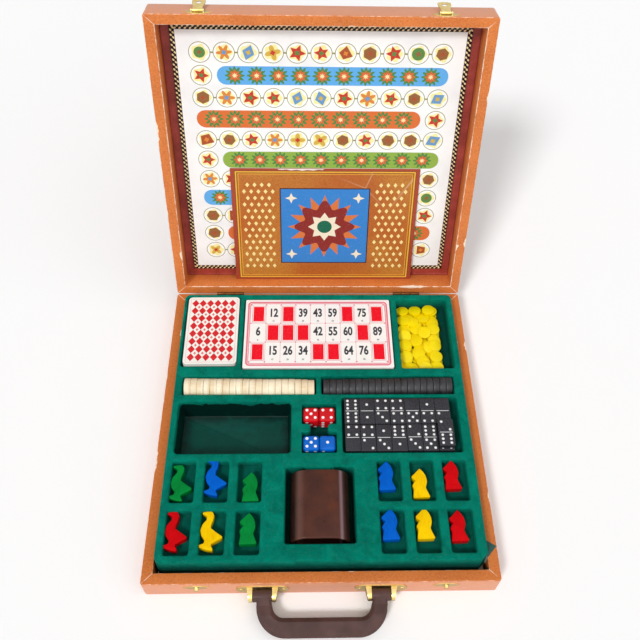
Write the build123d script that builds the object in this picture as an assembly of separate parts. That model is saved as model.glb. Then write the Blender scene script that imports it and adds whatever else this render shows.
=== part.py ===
from build123d import *
import math
import os

# Games compendium: a hinged flat case whose base carries a moulded tray of playing pieces.
# Frame: origin at the centre of the base's underside, +X to the right, +Y to the hinges, +Z up.
# The lid stands open against its stops. Lengths in millimetres, angles in degrees.

# ---- case ----
BASE_HEIGHT = 27.5
LID_HEIGHT = 26.4
RAIL_THICKNESS = 10.0
PANEL_THICKNESS = 3.0
PANEL_LEDGE = 5.0            # how far the panels reach into the rails
CASE_CORNER_RADIUS = 2.5
LID_OPEN_ANGLE = 103.36
SEAM = 0.5                   # gap between the two rims when the lid is shut
LINING_THICKNESS = 0.4
PRINTED_BOARD_SIDE_MARGIN = 6.5    # lining left bare beside the board
PRINTED_BOARD_END_MARGIN = 5.25
PRINTED_BOARD_THICKNESS = 2.5
PRINTED_BOARD_SHIFT = -0.9   # sideways, as it was glued in
LEAFLET_WIDTH = 199.0
LEAFLET_LENGTH = 142.0
LEAFLET_THICKNESS = 1.2
LEAFLET_SHIFT = 5.8
LEAFLET_FOOT_DEPTH = 14.0    # from the lid's rim down to the leaflet's front face at its foot
LEAFLET_PLAY = 0.05

# ---- boards under the tray ----
FOLDED_BOARD_PLAY = 1.5
FOLDED_BOARD_THICKNESS = 4.0

# ---- tray ----
TRAY_HEIGHT = 29.5
TRAY_WALL = 1.0
TRAY_DRAFT = 2.0
TRAY_CORNER_RADIUS = 7.0
TRAY_CHAMFER = 7.0           # on the right front corner
TRAY_BACK_CLEARANCE = 0.1
TRAY_FRONT_GAP = 3.94
TRAY_SIDE_GAP = 1.8          # beside the tray's top edge
LAYOUT_SHIFT = -1.2          # the pockets' centre line from the case's
POCKET_DRAFT = 2.0
POCKET_RADIUS = 3.0
FIT = 0.5                    # play round each piece at the floor of its pocket
LOOSE_POCKET_DRAFT = 8.0

LIFT_TAB_THICKNESS = 0.35
LIFT_TAB_WIDTH = 17.0
LIFT_TAB_REACH = 9.5
LIFT_TAB_Y = -131.5
LIFT_TAB_DROP = 14.0

# ---- playing pieces ----
CARD_WIDTH = 56.5
CARD_LENGTH = 88.0
CARD_CORNER_RADIUS = 3.0
DECK_HEIGHT = 16.5
DECK_POCKET_DEPTH = 17.5
LOTO_WIDTH = 159.0
LOTO_LENGTH = 88.5
LOTO_CORNER_RADIUS = 1.5
LOTO_STACK_HEIGHT = 18.8
LOTO_POCKET_DEPTH = 19.0
COUNTER_DIAMETER = 14.0
COUNTER_THICKNESS = 1.1
COUNTER_SPACING = 15.0
COUNTER_COLUMNS = 3
COUNTER_ROWS = 4
COUNTER_POCKET_WIDTH = 56.0
COUNTER_POCKET_LENGTH = 89.0
COUNTER_POCKET_DEPTH = 20.0
DRAUGHT_DIAMETER = 20.0
DRAUGHT_THICKNESS = 6.65
DRAUGHT_COUNT = 20
DISC_SIDES = 16              # draughts and counters are many-sided prisms
DRAUGHT_ROW_PLAY = 1.4
DRAUGHT_WANDER = 0.3         # share of the trough's play that the discs take up
TROUGH_DEPTH = 16.5
TROUGH_CORNER_RADIUS = 1.5
DIE_SIZE = 16.0
DIE_CHAMFER = 1.6
DICE_POCKET_DEPTH = 16.5
DICE_CHANNEL = 17.0
DICE_TAB_LENGTH = 9.0
DICE_ROW_PITCH = 31.0
DOMINO_LENGTH = 28.5
DOMINO_WIDTH = 15.1
DOMINO_THICKNESS = 6.0
DOMINOES_PER_ROW = 7
DOMINO_GAP = 0.15            # between the tiles of a row
DOMINO_ROW_GAP = 0.4
DOMINO_SIDE_GAP = 2.6
DOMINO_TOP_SHIFT = 2.0
DOMINO_END_GAP = 8.1         # where a row has room for a finger
DOMINO_PLAY = 1.65
DOMINO_POCKET_DEPTH = 12.3
SPARE_POCKET_WIDTH = 113.0
SPARE_POCKET_LENGTH = 56.2
SPARE_POCKET_DEPTH = 25.0
CUP_WIDTH = 54.5
CUP_HEIGHT = 34.0
CUP_LENGTH = 65.0
CUP_WALL = 2.8
CUP_CORNER_RADIUS = 15.5
CUP_FLOOR = 3.0
CUP_BACK_SHIFT = 0.5
CUP_SIDE_PLAY = 5.25
CUP_END_PLAY = 2.25
CUP_POCKET_DEPTH = 28.0
CUP_LOBE_WIDTH = 19.0
CUP_LOBE_REACH = 3.4
PAWN_THICKNESS = 8.0
PAWN_POCKET_WIDTH = 22.6
PAWN_POCKET_LENGTH = 40.2
PAWN_POCKET_DEPTH = 10.5
PAWN_POCKET_CHAMFER = 2.0
GOOSE_HEIGHT = 36.1
GOOSE_FOOT_GAP = 2.2         # from the pocket's front edge
HORSE_HEIGHT = 28.9
HORSE_FOOT_GAP = 4.5

# ---- lands of the tray: the flat top between its pockets ----
BACK_RIM = 5.96
TROUGH_LAND = 8.74           # behind the row of troughs
DOMINO_LAND = 3.7
SPARE_LAND = 8.35
DICE_LAND = 11.53
PAWN_LAND = 8.35
PAWN_ROW_LAND = 8.1
FRONT_RIM = 6.13
CUP_LAND = 18.1
LEFT_RIM = 2.84
DECK_LAND = 4.78             # beside the loto cards
COUNTER_LAND = 6.54
RIGHT_RIM = 6.2
SIDE_RIM = 7.0               # least rim beside the other rows
TROUGH_SIDE_LAND = 5.45
DOMINO_SIDE_LAND = 5.67      # beside the dice
SPARE_SIDE_LAND = 10.53
CUP_SIDE_LAND = 22.2
PAWN_SIDE_LAND = 8.8
DECK_SHIFT = 3.5             # the deck's pocket lies further back than the loto cards'

# ---- handle and its brackets ----
BARREL_INSET = 5.0           # the barrels' centres, from the handle's sides
BRACKET_LENGTH = 47.0
BRACKET_HEIGHT = 15.0
BRACKET_PLATE = 1.0
BRACKET_EAR_ROOT = 5.4
BRACKET_EAR_TIP = 3.2
BRACKET_EAR_RADIUS = 5.25
HANDLE_AXIS_OUT = 6.5        # from the front face
HANDLE_PIN_DIAMETER = 3.0
BARREL_DIAMETER = 10.5
BARREL_LENGTH = 17.0
BARREL_GAP = 0.3
HANDLE_SPAN = 116.0
HANDLE_REACH = 34.5          # from the axis to the grip's outer side
GRIP_WIDTH = 16.5
GRIP_THICKNESS = 13.0
LEG_WIDTH = 11.7
LEG_THICKNESS = 9.4
LEG_STRAIGHT = 8.0
HANDLE_OUTER_RADIUS = 26.0
HANDLE_INNER_RADIUS = 10.0
HANDLE_EASE = 3.4            # along the edges of the grip
HANDLE_DROOP = 14.3          # the grip rests on the surface that the case stands on

# ---- latches ----
LATCH_INSET = 48.7           # from the case's sides
LATCH_PLATE_WIDTH = 24.7
LATCH_PLATE_HEIGHT = 9.6
LATCH_PLATE_THICKNESS = 0.7
LATCH_PLATE_DEPTH = 5.2      # its centre, from the lid's rim
LATCH_PIVOT_DEPTH = 4.5
LATCH_PIVOT_OUT = 2.2
LATCH_PIN_DIAMETER = 1.4
LATCH_EAR_THICKNESS = 1.0
LATCH_EAR_RADIUS = 1.6
HASP_THICKNESS = 0.9
HASP_KNUCKLE_DIAMETER = 2.6
HASP_NECK_WIDTH = 9.0
HASP_HEAD_WIDTH = 12.2
HASP_LENGTH = 19.5
HASP_HOLE_DIAMETER = 4.7
HASP_NOTCH = 1.1
HASP_TIP_RISE = 1.5
HASP_SWING = 172.0           # from folded back to shut over the stud
KEEPER_WIDTH = 24.0
KEEPER_HEIGHT = 8.5
KEEPER_Z = 19.5
STUD_Z = 18.5
STUD_DIAMETER = 4.0
STUD_OUT = 3.2               # from the front face to its tip

# ---- hinges ----
HINGE_INSET = 60.0           # from the case's sides
HINGE_WIDTH = 30.0
LEAF_THICKNESS = 0.8
LEAF_LENGTH = 20.0
HINGE_KNUCKLE_DIAMETER = 4.0
HINGE_CENTRE_KNUCKLE = 10.0
HINGE_GAP = 0.3
HINGE_PIN_DIAMETER = 1.8
STOP_LUG_WIDTH = 8.0
STOP_LUG_THICKNESS = 1.2
STOP_LUG_OFFSET = 7.0        # from the pin along the leaf
STOP_GAP = 0.1

# ---- fits ----
PIN_FIT = 0.02
RUNNING_FIT = 0.06

def pocket_room(size, depth, draft):
    """Width at the mouth of a pocket that fits a piece of this size at its floor."""
    return size + 2 * FIT + 2 * depth * math.tan(math.radians(draft))


# ---- derived sizes of the pockets ----
ROW_LENGTH = DRAUGHT_COUNT * DRAUGHT_THICKNESS
DECK_ROOM = pocket_room(CARD_WIDTH, DECK_POCKET_DEPTH, POCKET_DRAFT)
LOTO_ROOM = pocket_room(LOTO_WIDTH, LOTO_POCKET_DEPTH, POCKET_DRAFT)
LOTO_ROOM_LENGTH = pocket_room(LOTO_LENGTH, LOTO_POCKET_DEPTH, POCKET_DRAFT)
TROUGH_ROOM = pocket_room(ROW_LENGTH + DRAUGHT_ROW_PLAY, TROUGH_DEPTH, POCKET_DRAFT)
TROUGH_WIDTH = DRAUGHT_DIAMETER + 2 * FIT
DOMINO_PITCH = DOMINO_WIDTH + DOMINO_GAP
DOMINO_POCKET_WIDTH = (DOMINO_SIDE_GAP + (DOMINOES_PER_ROW - 1) * DOMINO_PITCH + DOMINO_WIDTH
                       + DOMINO_END_GAP)
DOMINO_POCKET_LENGTH = 2 * DOMINO_LENGTH + DOMINO_ROW_GAP + 2 * DOMINO_PLAY
CUP_POCKET_WIDTH = CUP_WIDTH + 2 * CUP_SIDE_PLAY
CUP_POCKET_LENGTH = CUP_LENGTH + 2 * CUP_END_PLAY
DICE_ROOM = pocket_room(2 * DIE_SIZE, DICE_POCKET_DEPTH, POCKET_DRAFT)
DICE_ROOM_LENGTH = DICE_ROW_PITCH + pocket_room(DIE_SIZE, DICE_POCKET_DEPTH, LOOSE_POCKET_DRAFT)

# ---- derived places along X, from the layout's centre line ----
DECK_X = -LOTO_ROOM / 2 - DECK_LAND - DECK_ROOM / 2
COUNTER_POCKET_X = LOTO_ROOM / 2 + COUNTER_LAND + COUNTER_POCKET_WIDTH / 2
TROUGH_X = (TROUGH_ROOM + TROUGH_SIDE_LAND) / 2
SPARE_POCKET_X = -DICE_ROOM / 2 - SPARE_SIDE_LAND - SPARE_POCKET_WIDTH / 2
DOMINO_POCKET_X = DICE_ROOM / 2 + DOMINO_SIDE_LAND + DOMINO_POCKET_WIDTH / 2
PAWN_COLUMN_PITCH = PAWN_POCKET_WIDTH + PAWN_SIDE_LAND
PAWN_INNER_COLUMN = CUP_POCKET_WIDTH / 2 + CUP_SIDE_LAND + PAWN_POCKET_WIDTH / 2

# ---- derived sizes of the tray and the case that holds it ----
CARD_ROW_WIDTH = (LEFT_RIM + DECK_ROOM + DECK_LAND + LOTO_ROOM + COUNTER_LAND
                  + COUNTER_POCKET_WIDTH + RIGHT_RIM)
TROUGH_ROW_WIDTH = 2 * (TROUGH_X + TROUGH_ROOM / 2 + SIDE_RIM)
DOMINO_ROW_WIDTH = 2 * (DOMINO_POCKET_X + DOMINO_POCKET_WIDTH / 2 + SIDE_RIM)
PAWN_ROW_WIDTH = 2 * (PAWN_INNER_COLUMN + 2 * PAWN_COLUMN_PITCH + PAWN_POCKET_WIDTH / 2 + SIDE_RIM)
TRAY_TOP_WIDTH = round(max(CARD_ROW_WIDTH, TROUGH_ROW_WIDTH, DOMINO_ROW_WIDTH, PAWN_ROW_WIDTH), 1)
TRAY_TOP_DEPTH = round(BACK_RIM + LOTO_ROOM_LENGTH + TROUGH_LAND + TROUGH_WIDTH + DOMINO_LAND
                       + DOMINO_POCKET_LENGTH + PAWN_LAND + PAWN_POCKET_LENGTH + PAWN_ROW_LAND
                       + PAWN_POCKET_LENGTH + FRONT_RIM, 1)
TRAY_SPREAD = TRAY_HEIGHT * math.tan(math.radians(TRAY_DRAFT))
INSIDE_WIDTH = TRAY_TOP_WIDTH + 2 * TRAY_SIDE_GAP
INSIDE_DEPTH = round(TRAY_TOP_DEPTH + TRAY_BACK_CLEARANCE + 2 * TRAY_SPREAD + TRAY_FRONT_GAP, 1)
CASE_WIDTH = INSIDE_WIDTH + 2 * RAIL_THICKNESS
CASE_DEPTH = INSIDE_DEPTH + 2 * RAIL_THICKNESS
FRONT_Y = -CASE_DEPTH / 2
BACK_Y = CASE_DEPTH / 2
PRINTED_BOARD_WIDTH = INSIDE_WIDTH - 2 * PRINTED_BOARD_SIDE_MARGIN
PRINTED_BOARD_LENGTH = INSIDE_DEPTH - 2 * PRINTED_BOARD_END_MARGIN
LATCH_SPACING = CASE_WIDTH - 2 * LATCH_INSET
HINGE_SPACING = CASE_WIDTH - 2 * HINGE_INSET
BRACKET_SPACING = HANDLE_SPAN - 2 * BARREL_INSET
FOLDED_BOARD_SIZE = min(INSIDE_WIDTH, INSIDE_DEPTH) - 2 * FOLDED_BOARD_PLAY
TRAY_BACK_Y = INSIDE_DEPTH / 2 - TRAY_BACK_CLEARANCE - TRAY_SPREAD
TRAY_CENTRE_Y = TRAY_BACK_Y - TRAY_TOP_DEPTH / 2

# ---- derived places along Y, from the back row to the front row ----
CARD_ROW_Y = TRAY_BACK_Y - BACK_RIM - LOTO_ROOM_LENGTH / 2
DECK_Y = CARD_ROW_Y + DECK_SHIFT
TROUGH_ROW_Y = CARD_ROW_Y - LOTO_ROOM_LENGTH / 2 - TROUGH_LAND - TROUGH_WIDTH / 2
TROUGH_FRONT_Y = TROUGH_ROW_Y - TROUGH_WIDTH / 2
DOMINO_POCKET_Y = TROUGH_FRONT_Y - DOMINO_LAND - DOMINO_POCKET_LENGTH / 2
SPARE_POCKET_Y = TROUGH_FRONT_Y - SPARE_LAND - SPARE_POCKET_LENGTH / 2
DICE_POCKET_Y = TROUGH_FRONT_Y - DICE_LAND - DICE_ROOM_LENGTH / 2
DOMINO_FRONT_Y = DOMINO_POCKET_Y - DOMINO_POCKET_LENGTH / 2
PAWN_BACK_ROW_Y = DOMINO_FRONT_Y - PAWN_LAND - PAWN_POCKET_LENGTH / 2
PAWN_ROW_PITCH = PAWN_POCKET_LENGTH + PAWN_ROW_LAND
CUP_POCKET_Y = DOMINO_FRONT_Y - CUP_LAND - CUP_POCKET_LENGTH / 2

# ---- derived heights ----
HINGE_Z = BASE_HEIGHT + SEAM / 2
HINGE_AXIS = Axis((0, BACK_Y, HINGE_Z), (1, 0, 0))
LID_RIM_Z = BASE_HEIGHT + SEAM
LID_TOP_Z = LID_RIM_Z + LID_HEIGHT
LINING_Z = LID_TOP_Z - PANEL_THICKNESS - LINING_THICKNESS
BOARD_FACE_Z = LINING_Z - PRINTED_BOARD_THICKNESS
LOWER_BOARD_Z = PANEL_THICKNESS
UPPER_BOARD_Z = LOWER_BOARD_Z + FOLDED_BOARD_THICKNESS
TRAY_Z = UPPER_BOARD_Z + FOLDED_BOARD_THICKNESS
TRAY_TOP_Z = TRAY_Z + TRAY_HEIGHT
BRACKET_Z = BASE_HEIGHT / 2
PIVOT_Z = LID_RIM_Z + LATCH_PIVOT_DEPTH
HASP_HOLE_DISTANCE = PIVOT_Z - STUD_Z


def write(node, shape):
    export_step(shape, f"parts/{node}.step")


def opened(shape):
    """Turn a piece of the shut lid to where the open lid holds it."""
    return shape.rotate(HINGE_AXIS, -LID_OPEN_ANGLE)


def cylinder_x(radius, length, x, y, z):
    """Round bar along X about the point."""
    return Pos(x, y, z) * Rot(0, 90, 0) * Cylinder(radius, length)


def lens(width, height):
    """Pointed oval between two shallow arcs."""
    upper = ThreePointArc((-width / 2, 0), (0, height / 2), (width / 2, 0))
    lower = ThreePointArc((width / 2, 0), (0, -height / 2), (-width / 2, 0))
    return make_face(upper + lower)


# ---------------------------------------------------------------- case

def case_frame(height, panel_z):
    """Four joined rails with a ledge for the panel, standing on z = 0."""
    outer = extrude(RectangleRounded(CASE_WIDTH, CASE_DEPTH, CASE_CORNER_RADIUS), height)
    hollow = extrude(Rectangle(INSIDE_WIDTH, INSIDE_DEPTH), height)
    ledge_width = INSIDE_WIDTH + 2 * PANEL_LEDGE
    ledge_depth = INSIDE_DEPTH + 2 * PANEL_LEDGE
    ledge = Pos(0, 0, panel_z) * extrude(Rectangle(ledge_width, ledge_depth), PANEL_THICKNESS)
    return outer - hollow - ledge


def rail_plan(side, height):
    """Prism over one mitred rail: front, back, left or right."""
    x_out = CASE_WIDTH / 2
    y_out = CASE_DEPTH / 2
    x_in = x_out - RAIL_THICKNESS
    y_in = y_out - RAIL_THICKNESS
    corners = {
        "front": [(-x_out, -y_out), (x_out, -y_out), (x_in, -y_in), (-x_in, -y_in)],
        "back": [(x_out, y_out), (-x_out, y_out), (-x_in, y_in), (x_in, y_in)],
        "left": [(-x_out, y_out), (-x_out, -y_out), (-x_in, -y_in), (-x_in, y_in)],
        "right": [(x_out, -y_out), (x_out, y_out), (x_in, y_in), (x_in, -y_in)],
    }
    return extrude(make_face(Polyline(*corners[side], close=True)), height)


def hinge_notches():
    """Room in the back rails for the knuckles of both hinges."""
    radius = HINGE_KNUCKLE_DIAMETER / 2 + HINGE_GAP
    length = HINGE_WIDTH + 2 * HINGE_GAP
    notches = [cylinder_x(radius, length, x, BACK_Y, HINGE_Z) for x in hinge_places()]
    return notches[0] + notches[1]


def make_base_case():
    frame = case_frame(BASE_HEIGHT, 0)
    for side in ("front", "back", "left", "right"):
        rail = frame & rail_plan(side, BASE_HEIGHT)
        if side == "back":
            rail -= hinge_notches()
        write(f"base_{side}_rail", rail)
    panel = extrude(Rectangle(INSIDE_WIDTH + 2 * PANEL_LEDGE, INSIDE_DEPTH + 2 * PANEL_LEDGE),
                    PANEL_THICKNESS)
    write("base_bottom_panel", panel)


def make_lid_case():
    frame = Pos(0, 0, LID_RIM_Z) * case_frame(LID_HEIGHT, LID_HEIGHT - PANEL_THICKNESS)
    for side in ("front", "back", "left", "right"):
        rail = frame & (Pos(0, 0, LID_RIM_Z) * rail_plan(side, LID_HEIGHT))
        if side == "back":
            rail -= hinge_notches()
        write(f"lid_{side}_rail", opened(rail))
    panel_plan = Rectangle(INSIDE_WIDTH + 2 * PANEL_LEDGE, INSIDE_DEPTH + 2 * PANEL_LEDGE)
    panel = Pos(0, 0, LID_TOP_Z - PANEL_THICKNESS) * extrude(panel_plan, PANEL_THICKNESS)
    write("lid_panel", opened(panel))
    lining = Pos(0, 0, LINING_Z) * extrude(Rectangle(INSIDE_WIDTH, INSIDE_DEPTH), LINING_THICKNESS)
    write("lid_lining", opened(lining))
    board_plan = Rectangle(PRINTED_BOARD_WIDTH, PRINTED_BOARD_LENGTH)
    board = Pos(PRINTED_BOARD_SHIFT, 0, BOARD_FACE_Z) * extrude(board_plan, PRINTED_BOARD_THICKNESS)
    write("printed_board", opened(board))


def make_leaflet():
    """Card standing on the back rail's inner face and leaning on the printed board."""
    rise = BOARD_FACE_Z - LID_RIM_Z - LEAFLET_FOOT_DEPTH - LEAFLET_THICKNESS - LEAFLET_PLAY
    lean = math.degrees(math.asin(rise / LEAFLET_LENGTH))
    foot = LEAFLET_PLAY + LEAFLET_THICKNESS * math.sin(math.radians(lean))
    card = extrude(Rectangle(LEAFLET_WIDTH, LEAFLET_LENGTH, align=(Align.CENTER, Align.MAX)),
                   LEAFLET_THICKNESS)
    place = Pos(LEAFLET_SHIFT, INSIDE_DEPTH / 2 - foot, LID_RIM_Z + LEAFLET_FOOT_DEPTH)
    write("leaflet", opened(place * Rot(-lean, 0, 0) * card))


# ---------------------------------------------------------------- tray

def tapered_block(plan, depth, draft):
    """Solid that hangs from the plan at z = 0 and narrows downwards."""
    hanging = Plane(origin=(0, 0, 0), x_dir=(1, 0, 0), z_dir=(0, 0, -1))
    return extrude(hanging * mirror(plan, about=Plane.XZ), depth, taper=draft)


def corner_edges(block, depth):
    """The slanting edges of a tapered block."""
    return [edge for edge in block.edges() if abs(edge.center().Z + depth / 2) < PIN_FIT]


class Pocket:
    """Rectangular pocket: its cavity has eased corners, its underside plain ones."""

    def __init__(self, width, length, depth, draft=POCKET_DRAFT, ease=fillet, radius=POCKET_RADIUS):
        self.width = width
        self.length = length
        self.depth = depth
        self.draft = draft
        self.ease = ease
        self.radius = radius

    def underside(self):
        plan = Rectangle(self.width + 2 * TRAY_WALL, self.length + 2 * TRAY_WALL)
        return tapered_block(plan, self.depth + TRAY_WALL, self.draft)

    def cavity(self):
        block = tapered_block(Rectangle(self.width, self.length), self.depth, self.draft)
        return self.ease(corner_edges(block, self.depth), self.radius)


class CupPocket(Pocket):
    """Pocket with a finger lobe at each back corner."""

    def lobes(self):
        lobe = Pocket(CUP_LOBE_WIDTH, self.length / 2, self.depth, self.draft, fillet,
                      CUP_LOBE_WIDTH / 3)
        x = (self.width - CUP_LOBE_WIDTH) / 2
        y = self.length / 4 + CUP_LOBE_REACH
        return lobe, (Pos(-x, y), Pos(x, y))

    def underside(self):
        lobe, (left, right) = self.lobes()
        return super().underside() + left * lobe.underside() + right * lobe.underside()

    def cavity(self):
        lobe, (left, right) = self.lobes()
        return super().cavity() + left * lobe.cavity() + right * lobe.cavity()


class DicePocket(Pocket):
    """Two bays for a pair of dice each, joined by a channel between two tongues."""

    def plan(self, wall):
        room = Rectangle(self.width + 2 * wall, self.length + 2 * wall)
        inner = DICE_CHANNEL / 2 + wall
        tongue = Rectangle(self.width, DICE_TAB_LENGTH - 2 * wall, align=(Align.MIN, Align.CENTER))
        return room - Pos(inner, 0) * tongue - Rot(0, 0, 180) * Pos(inner, 0) * tongue

    def underside(self):
        return tapered_block(self.plan(TRAY_WALL), self.depth + TRAY_WALL, self.draft)

    def cavity(self):
        return tapered_block(self.plan(0), self.depth, self.draft)


def pawn_places():
    """Centres of the twelve pawn pockets: left block first, back row before front row."""
    columns = [PAWN_INNER_COLUMN + step * PAWN_COLUMN_PITCH for step in range(3)]
    left = [-column for column in reversed(columns)]
    rows = (PAWN_BACK_ROW_Y, PAWN_BACK_ROW_Y - PAWN_ROW_PITCH)
    return [[(x, y) for x in block] for block in (left, columns) for y in rows]


def pockets():
    """Every pocket with the place of its centre."""
    deck = Pocket(DECK_ROOM, pocket_room(CARD_LENGTH, DECK_POCKET_DEPTH, POCKET_DRAFT),
                  DECK_POCKET_DEPTH)
    trough = Pocket(TROUGH_ROOM, TROUGH_WIDTH, TROUGH_DEPTH, radius=TROUGH_CORNER_RADIUS)
    dice = DicePocket(DICE_ROOM, DICE_ROOM_LENGTH, DICE_POCKET_DEPTH)
    pawn = Pocket(PAWN_POCKET_WIDTH, PAWN_POCKET_LENGTH, PAWN_POCKET_DEPTH, POCKET_DRAFT, chamfer,
                  PAWN_POCKET_CHAMFER)
    placed = [
        (deck, DECK_X, DECK_Y),
        (Pocket(LOTO_ROOM, LOTO_ROOM_LENGTH, LOTO_POCKET_DEPTH), 0, CARD_ROW_Y),
        (Pocket(COUNTER_POCKET_WIDTH, COUNTER_POCKET_LENGTH, COUNTER_POCKET_DEPTH),
         COUNTER_POCKET_X, CARD_ROW_Y),
        (trough, -TROUGH_X, TROUGH_ROW_Y),
        (trough, TROUGH_X, TROUGH_ROW_Y),
        (Pocket(SPARE_POCKET_WIDTH, SPARE_POCKET_LENGTH, SPARE_POCKET_DEPTH, LOOSE_POCKET_DRAFT),
         SPARE_POCKET_X, SPARE_POCKET_Y),
        (dice, 0, DICE_POCKET_Y),
        (Pocket(DOMINO_POCKET_WIDTH, DOMINO_POCKET_LENGTH, DOMINO_POCKET_DEPTH),
         DOMINO_POCKET_X, DOMINO_POCKET_Y),
        (CupPocket(CUP_POCKET_WIDTH, CUP_POCKET_LENGTH, CUP_POCKET_DEPTH), 0, CUP_POCKET_Y),
    ]
    for line in pawn_places():
        placed += [(pawn, x, y) for x, y in line]
    return placed


def tray_skirt(wall):
    """Drafted block of the tray, inset by the wall, open at the bottom."""
    width = TRAY_TOP_WIDTH + 2 * TRAY_SPREAD - 2 * wall
    depth = TRAY_TOP_DEPTH + 2 * TRAY_SPREAD - 2 * wall
    plan = RectangleRounded(width, depth, TRAY_CORNER_RADIUS - wall)
    reach = TRAY_CHAMFER + (2 - math.sqrt(2)) * wall
    corner = Polyline((width / 2, -depth / 2), (width / 2, -depth / 2 + reach),
                      (width / 2 - reach, -depth / 2), close=True)
    plan -= make_face(corner)
    return Pos(0, TRAY_CENTRE_Y, TRAY_Z) * extrude(plan, TRAY_HEIGHT - wall, taper=TRAY_DRAFT)


def make_tray():
    """Thin moulded sheet: a drafted skirt, a flat top and every pocket drawn down from it."""
    tray = tray_skirt(0) - tray_skirt(TRAY_WALL)
    placed = [(pocket, Pos(LAYOUT_SHIFT + x, y, TRAY_TOP_Z)) for pocket, x, y in pockets()]
    for pocket, place in placed:
        tray += place * pocket.underside()
    for pocket, place in placed:
        tray -= place * pocket.cavity()
    write("tray", tray)


def make_lift_tab():
    """Ribbon that comes up beside the tray and lies as a pointed tongue on the right rim."""
    rail_face = INSIDE_WIDTH / 2
    strip_x = rail_face - LIFT_TAB_THICKNESS
    strip = Box(LIFT_TAB_THICKNESS, LIFT_TAB_WIDTH, LIFT_TAB_DROP + LIFT_TAB_THICKNESS,
                align=(Align.MIN, Align.CENTER, Align.MIN))
    strip = Pos(strip_x, LIFT_TAB_Y, BASE_HEIGHT - LIFT_TAB_DROP) * strip
    outline = Polyline((strip_x, LIFT_TAB_WIDTH / 2), (strip_x, -LIFT_TAB_WIDTH / 2),
                       (rail_face + LIFT_TAB_REACH, LIFT_TAB_WIDTH / 8), close=True)
    tongue = Pos(0, LIFT_TAB_Y, BASE_HEIGHT) * extrude(make_face(outline), LIFT_TAB_THICKNESS)
    write("tray_lift_tab", strip + tongue)


def make_folded_boards():
    board = extrude(Rectangle(FOLDED_BOARD_SIZE, FOLDED_BOARD_SIZE), FOLDED_BOARD_THICKNESS)
    write("draughts_board", Pos(0, 0, LOWER_BOARD_Z) * board)
    write("race_board", Pos(0, 0, UPPER_BOARD_Z) * board)


# ---------------------------------------------------------------- playing pieces

def make_cards():
    deck = extrude(RectangleRounded(CARD_WIDTH, CARD_LENGTH, CARD_CORNER_RADIUS), DECK_HEIGHT)
    deck_z = TRAY_TOP_Z - DECK_POCKET_DEPTH
    write("card_deck", Pos(LAYOUT_SHIFT + DECK_X, DECK_Y, deck_z) * deck)
    loto_plan = RectangleRounded(LOTO_WIDTH, LOTO_LENGTH, LOTO_CORNER_RADIUS)
    loto_z = TRAY_TOP_Z - LOTO_POCKET_DEPTH
    write("loto_cards", Pos(LAYOUT_SHIFT, CARD_ROW_Y, loto_z) * extrude(loto_plan, LOTO_STACK_HEIGHT))


def disc(diameter, thickness):
    """Round piece standing on one of its sides, thick along X."""
    side_plane = Plane(origin=(0, 0, 0), x_dir=(0, 1, 0), z_dir=(1, 0, 0))
    plan = RegularPolygon(diameter / 2, DISC_SIDES, major_radius=False, rotation=180 / DISC_SIDES)
    return extrude(side_plane * plan, thickness / 2, both=True)


def make_counters():
    """Loose layer of counters towards the front left of their pocket."""
    counter = Rot(0, 90, 0) * disc(COUNTER_DIAMETER, COUNTER_THICKNESS)
    z = TRAY_TOP_Z - COUNTER_POCKET_DEPTH + COUNTER_THICKNESS / 2
    left = LAYOUT_SHIFT + COUNTER_POCKET_X - COUNTER_POCKET_WIDTH / 2 + COUNTER_DIAMETER / 2
    front = CARD_ROW_Y - COUNTER_POCKET_LENGTH / 2 + COUNTER_DIAMETER / 2
    heap = []
    for row in range(COUNTER_ROWS):
        for column in range(COUNTER_COLUMNS):
            x = left + COUNTER_SPACING * (column + 0.2)
            y = front + COUNTER_SPACING * (row + 0.2)
            heap.append(Pos(x, y, z) * counter)
    write("counters", Compound(heap))


def draught_row(centre_x, seed):
    """Discs on edge in their trough, each a little out of line."""
    radius = DRAUGHT_DIAMETER / 2
    narrowing = (TROUGH_DEPTH - radius) * math.tan(math.radians(POCKET_DRAFT))
    play = DRAUGHT_WANDER * (FIT - narrowing)
    draught = disc(DRAUGHT_DIAMETER, DRAUGHT_THICKNESS)
    z = TRAY_TOP_Z - TROUGH_DEPTH + radius
    discs = []
    for index in range(DRAUGHT_COUNT):
        x = centre_x + (index - (DRAUGHT_COUNT - 1) / 2) * DRAUGHT_THICKNESS
        y = TROUGH_ROW_Y + play * math.sin(seed + 1.7 * index)
        discs.append(Pos(x, y, z) * draught)
    return Compound(discs)


def make_draughts():
    write("natural_draughts", draught_row(LAYOUT_SHIFT - TROUGH_X, 0.4))
    write("black_draughts", draught_row(LAYOUT_SHIFT + TROUGH_X, 2.1))


def make_dice():
    """Two pairs, one in each bay."""
    die = chamfer(Box(DIE_SIZE, DIE_SIZE, DIE_SIZE).edges(), DIE_CHAMFER)
    z = TRAY_TOP_Z - DICE_POCKET_DEPTH + DIE_SIZE / 2
    for colour, row in (("red", 1), ("blue", -1)):
        y = DICE_POCKET_Y + row * DICE_ROW_PITCH / 2
        pair = [Pos(LAYOUT_SHIFT + side * DIE_SIZE / 2, y, z) * die for side in (-1, 1)]
        write(f"{colour}_dice", Compound(pair))


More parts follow.
